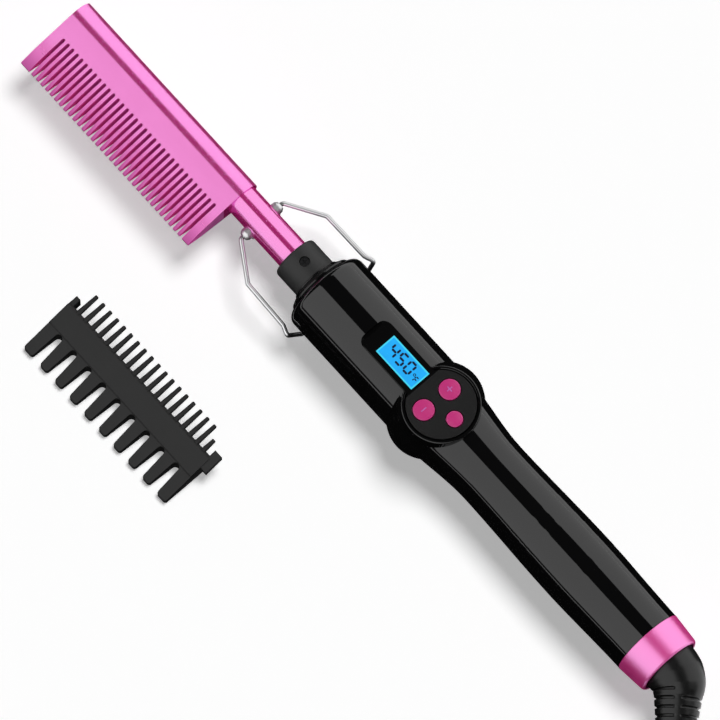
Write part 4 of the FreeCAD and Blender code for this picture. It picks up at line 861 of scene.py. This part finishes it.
# %% The head
SPINE_R, TEETH_REACH, TIP_HALF = 7.4, 26.6, 0.65
BEVEL_START, BEVEL_HALF, BEVEL_CROWN = 17.0, 4.1, 0.45
COMB_REAR, COMB_TIP, BARREL_R, SEAT = 231.0, 324.3, 6.4, 0.05
SLOTS, SLOT_WIDTH, SLOT_PITCH, SLOT_ROOT, END_TOOTH = 34, 1.2, 2.55, 9.4, 4.5
ARC_STEPS, CROWN_STEPS = 44, 6
# how far a cutter runs past what it cuts
PAST = 1


def comb_outline():
    """The head's section as (y, z): the spine's arc, the flat, the crowned bevel and the tip."""
    far = math.hypot(BEVEL_START, BEVEL_HALF)
    touch = math.atan2(BEVEL_HALF, BEVEL_START) + math.acos(SPINE_R / far)
    upper = arc(0, 0, SPINE_R, 180, math.degrees(touch), ARC_STEPS)
    run, fall = TEETH_REACH - BEVEL_START, BEVEL_HALF - TIP_HALF
    for k in range(CROWN_STEPS + 1):
        t = k / CROWN_STEPS
        crown = 4 * BEVEL_CROWN * t * (1 - t) / math.hypot(run, fall)
        upper.append((BEVEL_START + run * t + crown * fall, BEVEL_HALF - fall * t + crown * run))
    return upper + [(y, -z) for y, z in reversed(upper[1:])]


bore = tube(COMB_REAR - PAST, COMB_TIP + PAST, BARREL_R + SEAT)
blank = carved(thing("comb", prism("comb", comb_outline(), COMB_REAR, COMB_TIP, X)), [bore])
half = SLOT_WIDTH / 2
slot_outline = [(-half, TEETH_REACH + PAST), (half, TEETH_REACH + PAST),
                *arc(0, SLOT_ROOT + half, half, 0, -180, 8)]
saw = from_zero("saw", prism("saw", slot_outline, -SPINE_R - 2, SPINE_R + 2))
blank = repeated(blank, cut_row, "comb_body", Piece=saw, Count=SLOTS, Material=FINISHES["pink_comb"],
                 Start=place(COMB_TIP - END_TOOTH - half, 0, 0), Step=Vector((-SLOT_PITCH * MM, 0, 0)))
comb = dress(rounded(blank, 0.16), "handle", "pink_aluminium", "comb_head", material=FINISHES["pink_comb"])

# %% [markdown]
# ## The clip-on comb
#
# It slides over the heated comb's teeth, so it is a channel with a wedge's section. Coarse teeth stand
# at its closed edge, where the channel was cut away between them, and fine teeth grow from its back.
# The same tree cuts the gaps. A second tree adds the fine teeth, and makes the last one short.

# %% A tree that adds a row of teeth
add_row, given, result = node_tree("teeth_in_a_row", {**ROW, "Last Size": "Vector"})
index = add_row.nodes.new("GeometryNodeInputIndex").outputs[0]
is_last = calc(add_row, "COMPARE", index, calc(add_row, "SUBTRACT", given["Count"], 1))
size = add(add_row, "ShaderNodeMix", {"data_type": "VECTOR"})
size.inputs[4].default_value = (1, 1, 1)
add_row.links.new(is_last, size.inputs[0])
add_row.links.new(given["Last Size"], size.inputs[5])
row_of_teeth = in_a_row(add_row, given, size.outputs[1])
both = add_row.nodes.new("GeometryNodeJoinGeometry")
add_row.links.new(row_of_teeth.outputs[0], both.inputs[0])
add_row.links.new(given["Geometry"], both.inputs[0])
ends_in(add_row, both.outputs[0], given, result)
print("tree:", add_row.name)

# %% The channel
CLIP_X, CLIP_Y, CLIP_HALF = 206.0, 78.9, 39.5
CLIP_TIP, CLIP_BACK, CLIP_WALL, CLIP_TIP_TOP, CLIP_SLOPE = 16.0, -7.0, 1.6, 3.7, 0.33
STEP_AT, STEP, BACK_EASE, END_WALL, TIP_EASE = 3.0, 0.5, 1.2, 2.0, 0.48


def clip_top(y):
    return CLIP_TIP_TOP + CLIP_SLOPE * (CLIP_TIP - y)


def clip_place(x, y, z):
    """A place on the clip-on comb, from its middle on the table."""
    return place(CLIP_X + x, CLIP_Y + y, FLOOR + z)


def on_clip(mesh):
    """A mesh drawn from the tool's zero, moved to the clip-on comb's."""
    mesh.transform(Matrix.Translation(Vector((CLIP_X, CLIP_Y, FLOOR)) * MM))
    return mesh


drop = CLIP_WALL * math.hypot(1, CLIP_SLOPE)
closed, open_end = CLIP_TIP - 2 * CLIP_WALL, CLIP_BACK - PAST
outer = [(CLIP_TIP, TIP_EASE), (CLIP_TIP - 2 * TIP_EASE, 0), (CLIP_BACK, 0),
         (CLIP_BACK, clip_top(CLIP_BACK) - BACK_EASE),
         (CLIP_BACK + BACK_EASE, clip_top(CLIP_BACK + BACK_EASE)), (STEP_AT, clip_top(STEP_AT)),
         (STEP_AT + STEP, clip_top(STEP_AT + STEP) - STEP),
         (CLIP_TIP - TIP_EASE, clip_top(CLIP_TIP - TIP_EASE) - STEP),
         (CLIP_TIP, CLIP_TIP_TOP - STEP - TIP_EASE)]
inner = [(closed, CLIP_WALL), (open_end, CLIP_WALL), (open_end, clip_top(open_end) - drop),
         (closed, clip_top(closed) - drop)]
clip = thing("clip", on_clip(prism("clip", outer, -CLIP_HALF, CLIP_HALF, X)))
hollow = on_clip(prism("inside", inner, -CLIP_HALF - PAST, CLIP_HALF - END_WALL, X))
print("channel:", len(outer), "corners outside,", len(inner), "inside")

# %% Its coarse teeth
BIG_GAPS, BIG_PITCH, GAP_ROOT_HALF, GAP_TIP_HALF, GAP_START, TIP_ROUND = 9, 8.15, 1.575, 2.075, 4.875, 1.2
CUT_TOP = 16


def tip_round(x, side):
    """The round of a tooth's corner at x, which points to side, from its flank to its tip."""
    return arc(x - side * TIP_ROUND, CLIP_TIP - TIP_ROUND, TIP_ROUND, 90 - 90 * side, 90, 6)


def end_corner(side):
    """What leaves the comb's own end, so that its last tooth is rounded too."""
    past = side * (CLIP_HALF + PAST)
    outline = [*tip_round(side * CLIP_HALF, side), (side * (CLIP_HALF - TIP_ROUND), CLIP_TIP + PAST),
               (past, CLIP_TIP + PAST), (past, CLIP_TIP - TIP_ROUND)]
    return on_clip(prism("corner", outline, -PAST, CUT_TOP))


flare = GAP_TIP_HALF + TIP_ROUND
gap_outline = [*arc(0, GAP_START, GAP_ROOT_HALF, 180, 360, 8), *tip_round(GAP_TIP_HALF, -1),
               (flare, CLIP_TIP + PAST), (-flare, CLIP_TIP + PAST), *reversed(tip_round(-GAP_TIP_HALF, 1))]
clip = carved(clip, [hollow, end_corner(-1), end_corner(1)])
gap = from_zero("gap", prism("gap", gap_outline, -3, CUT_TOP))
clip = repeated(clip, cut_row, "clip", Piece=gap, Count=BIG_GAPS, Material=FINISHES["clip_plastic"],
                Start=clip_place(-(BIG_GAPS - 1) / 2 * BIG_PITCH, 0, 0), Step=Vector((BIG_PITCH * MM, 0, 0)))
print("channel with its coarse teeth:", len(clip.data.polygons), "faces")

# %% Its end pieces
LATCH_Y0, LATCH_Y1, LATCH_SINK, LATCH_THICK = -9.6, -1.6, 0.4, 3.0
high = clip_top(CLIP_BACK) - CLIP_WALL / 2
knob = prism("knob", rectangle(37.5, 39.5, -10.5, -6.6), high - 7.5, high)
latch_low = LATCH_SINK + LATCH_THICK
latch_yz = [(y, clip_top(y) - dz) for y, dz in ((LATCH_Y0, LATCH_SINK), (LATCH_Y1, LATCH_SINK),
                                                (LATCH_Y1, latch_low), (LATCH_Y0, latch_low))]
latch = prism("latch", latch_yz, -42.5, -38.7, X)
clip = baked(rounded(carved(clip, [on_clip(knob), on_clip(latch)], "UNION"), 0.6, 3), "clip")
print("with its knob and its latch:", len(clip.data.polygons), "faces")

# %% Its fine teeth
FINE_TEETH, FINE_PITCH, FINE_FIRST, FINE_ROOT, FINE_TIP = 19, 3.87, 5.3, -6.0, -16.0
ROOT_HALF, ROOT_HIGH, END_HALF, END_HIGH, ABOVE_BACK = 1.0, 2.2, 0.75, 1.6, 0.4
LAST_SIZE = Vector((1, 0.6, 1))
rise = clip_top(CLIP_BACK) + ABOVE_BACK - clip_top(FINE_ROOT)
tooth_mesh = bpy.data.meshes.new("fine_tooth")
corners = [(half * side, y, top - tall * under) for half, y, top, tall in
           ((ROOT_HALF, 0, 0, ROOT_HIGH), (END_HALF, FINE_TIP - FINE_ROOT, rise, END_HIGH))
           for side, under in ((1, 0), (-1, 0), (-1, 1), (1, 1))]
tooth_mesh.from_pydata([Vector(c) * MM for c in corners], [],
                       [(0, 1, 2, 3), (7, 6, 5, 4), (0, 4, 5, 1), (1, 5, 6, 2), (2, 6, 7, 3), (3, 7, 4, 0)])
tooth = baked(rounded(thing("fine_tooth", clean(tooth_mesh)), 0.42, 3), "fine_tooth")
clip = repeated(clip, add_row, "clip_on_comb", Piece=tooth, Count=FINE_TEETH,
                Start=clip_place(CLIP_HALF - FINE_FIRST, FINE_ROOT, clip_top(FINE_ROOT)),
                Step=Vector((-FINE_PITCH * MM, 0, 0)), Material=FINISHES["clip_plastic"],
                **{"Last Size": LAST_SIZE})
dress(clip, "attachment", "clip_plastic", "comb_attachment")

# %% [markdown]
# ## The control panel
#
# The panel is one moulded cover: a round disc for the buttons, and a neck that frames the display.
# It could be a flat plate with circles painted on it. Here it is a hollow cover with real holes, so
# each cap stands in its own hole with an even dark gap round it, and really can be pressed.

# %% The cover
POD_X, NECK_X, NECK_HALF, NECK_ROUND = 120.3, 159.0, 6.6, 3.6
DISC_R, COVER_TOP, COVER_BOTTOM, PLATE_BOTTOM, SKIRT = 13.15, 17.4, 11.5, 15.4, 1.2
FACET_RUN, FACET_DROP = 4.0, 2.0
BUTTONS = {"heat_up": (122.5, -6.1, 4.05), "heat_down": (123.0, 6.2, 4.05), "power": (112.9, 0.0, 3.1)}
LCD_X0, LCD_X1, LCD_HALF = 131.9, 151.4, 4.45
MOVE = 0.35


def keyhole(disc, neck, front, corner):
    """The cover's outline: round the disc, and forwards along the neck to two rounded corners."""
    open_at = math.degrees(math.asin(neck / disc))
    arm = eased(rectangle(POD_X, front, -neck, neck), corner, 8, closed=False)
    return arc(POD_X, 0, disc, open_at, 360 - open_at, 120) + arm[1:-1]


outside = keyhole(DISC_R, NECK_HALF, NECK_X, NECK_ROUND)
inside = keyhole(DISC_R - SKIRT, NECK_HALF - SKIRT, NECK_X - FACET_RUN - SKIRT, 1.0)
window = rectangle(LCD_X0 - SEAT, LCD_X1 + SEAT, -LCD_HALF - SEAT, LCD_HALF + SEAT)
openings = [arc(x, y, r + MOVE, 0, 360, 64)[:-1] for x, y, r in BUTTONS.values()] + [window]
start, slope = NECK_X - FACET_RUN, FACET_DROP / FACET_RUN
facet = [(start, COVER_TOP), (NECK_X + PAST, COVER_TOP - slope * (FACET_RUN + PAST)),
         (NECK_X + PAST, COVER_TOP + PAST), (start, COVER_TOP + PAST)]
cover = carved(thing("cover", prism("cover", outside, COVER_BOTTOM, COVER_TOP)), [
    prism("inside", inside, COVER_BOTTOM - PAST, PLATE_BOTTOM),
    *[prism("opening", outline, PLATE_BOTTOM - PAST, COVER_TOP + PAST) for outline in openings],
    prism("facet", facet, -20, 20, Y),
])
print("cover: carved", len(cover.data.polygons), "faces")

# %% Its screw posts
POSTS = ((-8.5, 7.3), (-8.5, -7.3), (34.9, 4.2), (34.9, -4.2))
POST_LOW, POST_HIGH, POST_R, POST_BORE_R = 6.35, 15.5, 1.7, 0.85
posts = [tube(POST_LOW, POST_HIGH, POST_R, POST_BORE_R, (POD_X + x, y, 0), Z, 32) for x, y in POSTS]
cover = carved(cover, posts, "UNION")
cover.name = "control_cover"
dress(rounded(cover, 0.2), "handle", "bezel_plastic", "control_bezel")

# %% [markdown]
# ## Buttons
#
# Each cap is moulded with a domed top, a lip that stops it from falling out, and a stem that reaches
# its switch. The two large caps carry a raised plus and minus. The caps are turned from outlines, so
# the dome and the eased rim are part of the same curve.

# %% Caps
CAP_TOP, CAP_DOME, LIP_TOP, LIP_LOW, STEM_LOW, STEM_R = 18.0, 0.3, 15.05, 14.15, 11.1, 1.2
LIP, RIM_IN, RIM_DROP, RIM_ROUND = 0.8, 0.45, 0.06, 0.35


def cap_outline(r):
    """Half a cap's section: the dome, the eased rim, the lip and the stem."""
    dome = [(CAP_TOP - CAP_DOME * (k / 10) ** 2, (r - RIM_IN) * k / 10) for k in range(11)]
    rim = eased([dome[-1], (CAP_TOP - CAP_DOME - RIM_DROP, r), (LIP_TOP, r)], RIM_ROUND, 5, closed=False)
    return dome[:-1] + rim + [(LIP_TOP, r + LIP), (LIP_LOW, r + LIP), (LIP_LOW, STEM_R), (STEM_LOW, STEM_R),
                              (STEM_LOW, 0)]


for name, (x, y, r) in BUTTONS.items():
    cap = thing(name + "_cap", turned(name, cap_outline(r), (x, y, 0), Z, 64))
    dress(cap, name, "button_pink", name + "_button")

# %% Their marks
MARK_LONG, MARK_WIDE, MARK_LOW, MARK_HIGH = 1.25, 0.24, CAP_TOP - 0.3, CAP_TOP + 0.06


def bar(x, y, along, across):
    return prism("bar", eased(rectangle(x - along, x + along, y - across, y + across), 0.15, 2),
                 MARK_LOW, MARK_HIGH)


for name, crossed in (("heat_up", True), ("heat_down", False)):
    x, y, r = BUTTONS[name]
    mark = thing(name + "_mark", bar(x, y, MARK_WIDE, MARK_LONG))
    if crossed:
        mark = carved(mark, [bar(x, y, MARK_LONG, MARK_WIDE)], "UNION")
    dress(rounded(mark, 0.05), name, "button_pink", material=FINISHES["button_mark"])

# %% [markdown]
# ## The display
#
# The display is lit from behind, so its face gives light of its own and the digits stay dark. The
# digits are the usual seven bars. They could be a picture on the glass, but real bars stay sharp from
# any distance. Each digit is a choice of bars from one list, so any number can be shown.

# %% Digits
BARS = {"top": (0, 1, 1), "upper_left": (-1, 0.5, 0), "upper_right": (1, 0.5, 0), "middle": (0, 0, 1),
        "lower_left": (-1, -0.5, 0), "lower_right": (1, -0.5, 0), "bottom": (0, -1, 1)}
LIT = {
    "4": "upper_left upper_right middle lower_right",
    "5": "top upper_left middle lower_right bottom",
    "0": "top upper_left upper_right lower_left lower_right bottom",
    "F": "top upper_left middle lower_left",
}
GLASS_TOP = 17.25
DIGIT_LOW, DIGIT_HIGH = GLASS_TOP - 0.1, GLASS_TOP + 0.07
# shares of a bar's half width: how far its point runs, and the gap to the next bar
BAR_POINT, BAR_GAP = 0.9, 0.35


def digit(sign, x, y, half_width, half_height, half_bar):
    """The lit bars of one digit. It reads towards the handle, with its top to -Y."""
    bars = []
    for title in LIT[sign].split():
        u, v, flat = BARS[title]
        middle_x, middle_y = x - u * half_width, y - v * half_height
        long = (half_width if flat else half_height / 2) - half_bar * BAR_GAP
        point = half_bar * BAR_POINT
        shape = [(-long, 0), (-long + point, half_bar), (long - point, half_bar), (long, 0),
                 (long - point, -half_bar), (-long + point, -half_bar)]
        if not flat:
            shape = [(b, a) for a, b in shape]
        corners = [(middle_x + a, middle_y + b) for a, b in shape]
        bars.append(prism("bar", corners, DIGIT_LOW, DIGIT_HIGH))
    return bars


def joined(name, meshes):
    """One object from many meshes that don't touch."""
    bm = bmesh.new()
    for mesh in meshes:
        bm.from_mesh(mesh)
    whole = bpy.data.meshes.new(name)
    bm.to_mesh(whole)
    bm.free()
    return thing(name, whole)


# half a digit's width and height, and half a bar's width
NUMBER_SIZE, UNIT_SIZE = (1.35, 2.35, 0.42), (0.65, 1.1, 0.24)
NUMBER_Y, UNIT_AT, DEGREE_AT = -0.55, (133.6, 0.9), (135.2, -0.1, 0)
shown = []
for sign, x in (("4", 147.0), ("5", 142.7), ("0", 138.4)):
    shown += digit(sign, x, NUMBER_Y, *NUMBER_SIZE)
shown += digit("F", *UNIT_AT, *UNIT_SIZE)
shown.append(tube(DIGIT_LOW, DIGIT_HIGH, 0.6, 0.3, DEGREE_AT, Z, 20))
dress(joined("display_digits", shown), "handle", "display_panel", material=FINISHES["display_digit"])

# %% [markdown]
# ## Rings and collar
#
# The pink end ring, the black nose and the collar between handle and barrel are round all over, so each
# is one outline, turned, with a small round on every edge. The collar is then bored for its screw.

# %% Rings
RING_TAIL = [(6.15, 12.9), (6.15, 14.05), (5.95, 14.2), (-5.5, 13.25), (-6.2, 12.5), (-6.2, 11.7),
             (-1.15, 11.7), (-1.15, 12.9)]
ring = turned("ring", eased(RING_TAIL, (0.05, 0.08, 0.3, 1.2, 0.6, 0.25, 0.05, 0.05), 6), steps=160)
tail_ring = dress(thing("tail_ring", ring), "handle", "pink_ring", "end_ring")
NOSE = [(180.4, 8.65), (180.4, 11.95), (186.45, 11.95), (186.45, 12.8), (186.95, 13.3), (187.65, 13.3),
        (188.85, 11.1), (189.45, 9.9), (189.95, 9.9), (189.95, 8.65)]
nose = turned("nose", eased(NOSE, (0.05, 0.1, 0.02, 0.3, 0.4, 0.5, 0.5, 0.4, 0.25, 0.05), 5), steps=144)
dress(thing("nose_cone", nose), "handle", "nose_plastic", "nose_ring")

# %% Collar
COLLAR = [(177.85, 6.45), (177.85, 11.6), (180.35, 11.6), (180.35, 8.6), (190.0, 8.6), (190.0, 9.1),
          (202.0, 9.1), (202.0, 6.45)]
COLLAR_SCREW_X = 196
collar = turned("collar", eased(COLLAR, (0.05, 0.2, 0.2, 0.05, 0.05, 0.3, 1.6, 0.3), 8), steps=128)
recess = tube(7.2, 10, 2.05, centre=(COLLAR_SCREW_X, 0, 0), axis=Z, steps=40)
hole = tube(5, 9, 1.05, centre=(COLLAR_SCREW_X, 0, 0), axis=Z, steps=32)
collar = carved(thing("heat_collar", collar), [recess, hole])
dress(collar, "handle", "collar_plastic", "barrel_collar")

# %% [markdown]
# ## The stand's bracket
#
# A saddle under the barrel carries an ear on each side, and the wire stand hooks into the ears. Its
# parts are turned and joined, then everything that would cut a finger is rounded.

# %% Bracket
PIVOT_X, PIN_HOLE, SADDLE_R, SADDLE_BORE_R, SADDLE_HALF = 219.9, 0.9, 7.05, 6.45, 2.5
EAR = eased([(5.0, 0), (5.0, 2.4), (8.0, 2.4), (9.1, 1.6), (9.1, 0)], (0, 0, 0.5, 0.25, 0), 4)
saddle = thing("saddle", tube(PIVOT_X - SADDLE_HALF, PIVOT_X + SADDLE_HALF, SADDLE_R, SADDLE_BORE_R))
saddle = carved(saddle, [prism("upper_half", rectangle(PIVOT_X - 4, PIVOT_X + 4, -9, 9), 0, 9)])
ears = [turned("ear", [(side * a, r) for a, r in EAR], (PIVOT_X, 0, 0), Y, 40) for side in (-1, 1)]
holes = [tube(side * 7.15, side * 10, PIN_HOLE, centre=(PIVOT_X, 0, 0), axis=Y, steps=32) for side in (-1, 1)]
bore = tube(PIVOT_X - 5, PIVOT_X + 5, SADDLE_BORE_R)
bracket = carved(carved(saddle, ears, "UNION"), [bore, *holes])
bracket.name = "stand_saddle"
dress(rounded(bracket, 0.12), "handle", "bracket_steel", "stand_bracket")

# %% [markdown]
# ## The boot
#
# The cord leaves through a moulded rubber boot that bends 45 degrees and thins towards the cord.
# Cuts round its sides let it flex, and leave a solid spine above and below. It could be a cylinder
# with rings round it. Here the boot is one skin swept along a bent line, and the cuts are part of the
# skin, with soft edges as a mould leaves them.

# %% Its line
BOOT_FRONT, BOOT_NECK, BOOT_BEND, BOOT_LENGTH, BOOT_DROP = -4.8, 0.8, 14.0, 54.0, 5.2
BOOT_SECTIONS = ((0, 10.9), (5, 10.9), (9.5, 10.2), (13.5, 9.0), (19, 8.3), (31, 7.0), (43, 5.5), (54, 4.0))


def boot_point(d):
    """A place on the boot's own line: straight, round the bend, and straight on, sinking all the way."""
    bent = BOOT_BEND * BOOT_TURN
    bend = min(max(d - BOOT_NECK, 0), bent) / BOOT_BEND
    rest = max(d - BOOT_NECK - bent, 0)
    x = BOOT_FRONT - min(d, BOOT_NECK) - BOOT_BEND * math.sin(bend) - rest * math.cos(BOOT_TURN)
    y = BOOT_BEND * (1 - math.cos(bend)) + rest * math.sin(BOOT_TURN)
    t = min(max(d / BOOT_LENGTH, 0), 1)
    return Vector((x, y, -BOOT_DROP * (3 * t**2 - 2 * t**3)))


def boot_radius(d):
    for (a, ra), (b, rb) in zip(BOOT_SECTIONS, BOOT_SECTIONS[1:]):
        if d <= b:
            return ra + (rb - ra) * (d - a) / (b - a)
    return BOOT_SECTIONS[-1][1]


print("the boot ends", round((boot_point(BOOT_LENGTH) - BOOT_TIP).length, 3), "mm from the cord's start")

# %% Its cuts
CUT_FIRST, CUT_PITCH, CUTS, CUT_HALF, CUT_SPINE, CUT_DEPTH = 11.5, 3.2, 10, 0.42, 0.14, 0.09
# how far a cut's edges are softened to each side, in millimetres, and the spine's edges, as a share
CUT_SOFT, SPINE_SOFT = (0.15, 0.2), (0.03, 0.09)


def soft_step(value, low, high):
    t = min(max((value - low) / (high - low), 0), 1)
    return t * t * (3 - 2 * t)


def boot_ring(d, radius, cut=True, steps=96):
    """Places round the boot's line at a distance along it."""
    ahead = (boot_point(d + 0.01) - boot_point(d - 0.01)).normalized()
    level = Z.cross(ahead).normalized()
    above = ahead.cross(level)
    into = (d - CUT_FIRST) / CUT_PITCH
    nearest = min(max(round(into), 0), CUTS - 1)
    groove = 1 - soft_step(abs(into - nearest) * CUT_PITCH, CUT_HALF - CUT_SOFT[0], CUT_HALF + CUT_SOFT[1])
    ring = []
    for k in range(steps):
        turn = 2 * math.pi * k / steps
        side = soft_step(abs(math.sin(turn)), CUT_SPINE - SPINE_SOFT[0], CUT_SPINE + SPINE_SOFT[1])
        # the first cut is on the inside of the bend alone
        missing = nearest == 0 and math.sin(turn) > 0
        r = radius * (1 - CUT_DEPTH * groove * side) if cut and not missing else radius
        ring.append(place(*(boot_point(d) + level * r * math.sin(turn) + above * r * math.cos(turn))))
    return ring


print("cuts:", CUTS, "over", round((CUTS - 1) * CUT_PITCH, 1), "mm")

# %% Its skin
BOOT_FLANGE_R, BOOT_SHANK_R, SHANK_DEEP, BOOT_EASE, CORD_FIT = 10.3, 3.65, 2.65, 0.6, 0.06
RING_STEP, ROUND_END = 0.25, (0, 0.4, 0.8, 1.2, math.pi / 2)


def lofted(name, rings):
    """A closed skin over rings of the same count. A ring of one place closes an end."""
    verts, faces, starts = [], [], []
    for ring in rings:
        starts.append(len(verts))
        verts += ring
    for (one, a), (two, b) in zip(zip(rings, starts), zip(rings[1:], starts[1:])):
        for k in range(max(len(one), len(two))):
            low = [a + k % len(one), a + (k + 1) % len(one)]
            high = [b + (k + 1) % len(two), b + k % len(two)]
            faces.append(tuple(dict.fromkeys(low + high)))
    mesh = bpy.data.meshes.new(name)
    mesh.from_pydata(verts, [], faces)
    return clean(mesh)


rings = [[place(*boot_point(SHANK_DEEP))], boot_ring(SHANK_DEEP, BOOT_SHANK_R, False),
         boot_ring(0, BOOT_SHANK_R, False)]
rings += [boot_ring(BOOT_EASE * (1 - math.cos(a)), BOOT_FLANGE_R + BOOT_EASE * math.sin(a), False)
          for a in ROUND_END]
rings += [boot_ring(k * RING_STEP, boot_radius(k * RING_STEP))
          for k in range(3, int((BOOT_LENGTH - 0.5) / RING_STEP))]
eased_from = BOOT_LENGTH - BOOT_EASE
rings += [boot_ring(eased_from + BOOT_EASE * math.sin(a),
                    boot_radius(eased_from) - BOOT_EASE * (1 - math.cos(a))) for a in ROUND_END]
mouth = CORD_R + CORD_FIT
rings += [boot_ring(BOOT_LENGTH, mouth, False), boot_ring(BOOT_LENGTH - 1, mouth, False),
          [place(*boot_point(BOOT_LENGTH - 1))]]
dress(thing("boot_skin", lofted("boot", rings)), "cord_swivel", "boot_rubber", "cord_boot")

# %% [markdown]
# ## The plug and the tie
#
# The plug is moulded round its blades, with a taper that hands over to the cord and ribs to grip it
# by. The tie is a woven strap that holds the coil.

# %% Plug
PLUG_LONG, PLUG_HALF_WIDE, PLUG_HALF_HIGH, PLUG_EASE = 30.0, 12.5, 8.0, 1.2
RELIEF, RELIEF_R, SHOULDER = 22.0, 5.2, 3.0
RELIEF_OVER, RELIEF_STEP, GRIP_RINGS, GRIP_STEP, RIB_DEEP = 0.85, 0.5, 70, 0.35, 0.45
# the power of the plug's section: 2 is an oval, and it nears a box as the power grows
OVAL, BOXY = 2, 5.5
cord_end, before = (COIL_SIDE + AHEAD * a + LEFT * b + Z * (FLOOR + c - COIL_SIDE.z) for a, b, c in
                    (LEAD_OUT[-1], LEAD_OUT[-2]))
plug_on = Vector((cord_end.x - before.x, cord_end.y - before.y, 0)).normalized()
plug_left = Z.cross(plug_on)
lift = FLOOR + PLUG_HALF_HIGH - cord_end.z


def plug_ring(x, wide, high, rise, power, steps=72):
    """A section of the plug, ahead of the cord's end."""
    middle = cord_end + plug_on * x + Z * rise
    ring = []
    for k in range(steps):
        c, s = math.cos(2 * math.pi * k / steps), math.sin(2 * math.pi * k / steps)
        across = wide * math.copysign(abs(c) ** (2 / power), c)
        up = high * math.copysign(abs(s) ** (2 / power), s)
        ring.append(place(*(middle + plug_left * across + Z * up)))
    return ring


def relief_rings():
    """The part that bends with the cord, with a groove every few millimetres."""
    thin = CORD_R + RELIEF_OVER
    for k in range(1, int(RELIEF / RELIEF_STEP) + 1):
        x, t = k * RELIEF_STEP, k * RELIEF_STEP / RELIEF
        groove = 0.9 if 2 < x < 20 and k % 5 in (0, 1) else 1
        r = (thin + (RELIEF_R - thin) * t) * groove
        yield plug_ring(x, r, r, lift * t, OVAL)


def body_rings():
    """The shoulder, the ribbed grip and the eased front."""
    turns = [math.pi / 12 * k for k in range(1, 7)]
    for a in turns:
        grow = math.sin(a)
        yield plug_ring(RELIEF + SHOULDER * (1 - math.cos(a)), RELIEF_R + (PLUG_HALF_WIDE - RELIEF_R) * grow,
                        RELIEF_R + (PLUG_HALF_HIGH - RELIEF_R) * grow, lift, OVAL + (BOXY - OVAL) * grow)
    for k in range(1, GRIP_RINGS):
        x = k * GRIP_STEP
        rib = RIB_DEEP if 3 < x < 17 and k % 6 in (0, 1) else 0
        yield plug_ring(RELIEF + SHOULDER + x, PLUG_HALF_WIDE - rib, PLUG_HALF_HIGH, lift, BOXY)
    for a in turns:
        inset = PLUG_EASE * (1 - math.cos(a))
        yield plug_ring(RELIEF + PLUG_LONG - PLUG_EASE + PLUG_EASE * math.sin(a), PLUG_HALF_WIDE - inset,
                        PLUG_HALF_HIGH - inset, lift, BOXY)


SOCKET_DEEP = 0.6
rings = [[place(*(cord_end + plug_on * SOCKET_DEEP))]]
rings += [plug_ring(x, r, r, 0, OVAL) for x, r in ((SOCKET_DEEP, CORD_R + 0.05), (0, CORD_R + 0.05),
                                                   (0, CORD_R + 0.6))]
rings += [*relief_rings(), *body_rings(), [place(*(cord_end + plug_on * (RELIEF + PLUG_LONG) + Z * lift))]]
plug = dress(thing("plug_grip", lofted("plug", rings)), "cord_swivel", "plug_rubber", "plug_body")

# %% Tie
COIL_MEAN, COIL_HALF, COIL_HIGH, TIE_HALF, TIE_THICK, TIE_OUT = 33.0, 8.25, 16.5, 6.0, 1.1, 0.5
coil_middle = COIL_SIDE + LEFT * COIL_OUTER_TURN
tie_half = COIL_HALF + TIE_OUT
outline = eased(rectangle(COIL_MEAN - tie_half, COIL_MEAN + tie_half, 0, COIL_HIGH + TIE_OUT), 3.4, 8)
# the strap's section: shares of its half width, and of its thickness from the outside
PROFILE = ((-1, 0.9), (-0.97, 0.35), (-0.9, 0.1), (-0.5, 0), (0, 0), (0.5, 0), (0.9, 0.1), (0.97, 0.35),
           (1, 0.9), (0.9, 1), (-0.9, 1))
rings = []
for i, (r, z) in enumerate(outline):
    one, two = outline[i - 1], outline[(i + 1) % len(outline)]
    along = Vector((two[0] - one[0], two[1] - one[1])).normalized()
    inwards = Vector((-along.y, along.x))
    rings.append([])
    for w, deep in PROFILE:
        a, b = r + inwards.x * deep * TIE_THICK, z + inwards.y * deep * TIE_THICK
        spot = Vector((coil_middle.x, coil_middle.y, FLOOR + b)) + LEFT * a + AHEAD * w * TIE_HALF
        rings[-1].append(place(*spot))
tie = dress(thing("woven_tie", lofted("tie", rings + rings[:1])), "cord_swivel", "tie_fabric", "cord_tie")

# %% [markdown]
# ## The CAD pieces that stay
#
# The handle shells, the barrel, the wire stand, the screws and everything inside keep their CAD
# shapes, which are already exact. They only get their finishes.

# %% Finishes for the rest
for part in frame["record"]["subparts"]:
    kept = nodes[part["node"]]
    kept.data.materials.clear()
    kept.data.materials.append(FINISHES[part["material_slot"]])
mains_cord.data.materials.append(FINISHES["cord_rubber"])
for piece in (comb, tail_ring, nodes["barrel_tube"]):
    pink_metal.objects.link(piece)

# %% [markdown]
# ## Hand over
#
# The cord rides the swivel, since it turns with it, and so do the plug and the tie.

# %% Hand over
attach(mains_cord, "cord_swivel")
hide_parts("power_cord", "cord_coil", "cord_tail")
print("handed over:", mains_cord.name, "with", plug.name, "and", tie.name)
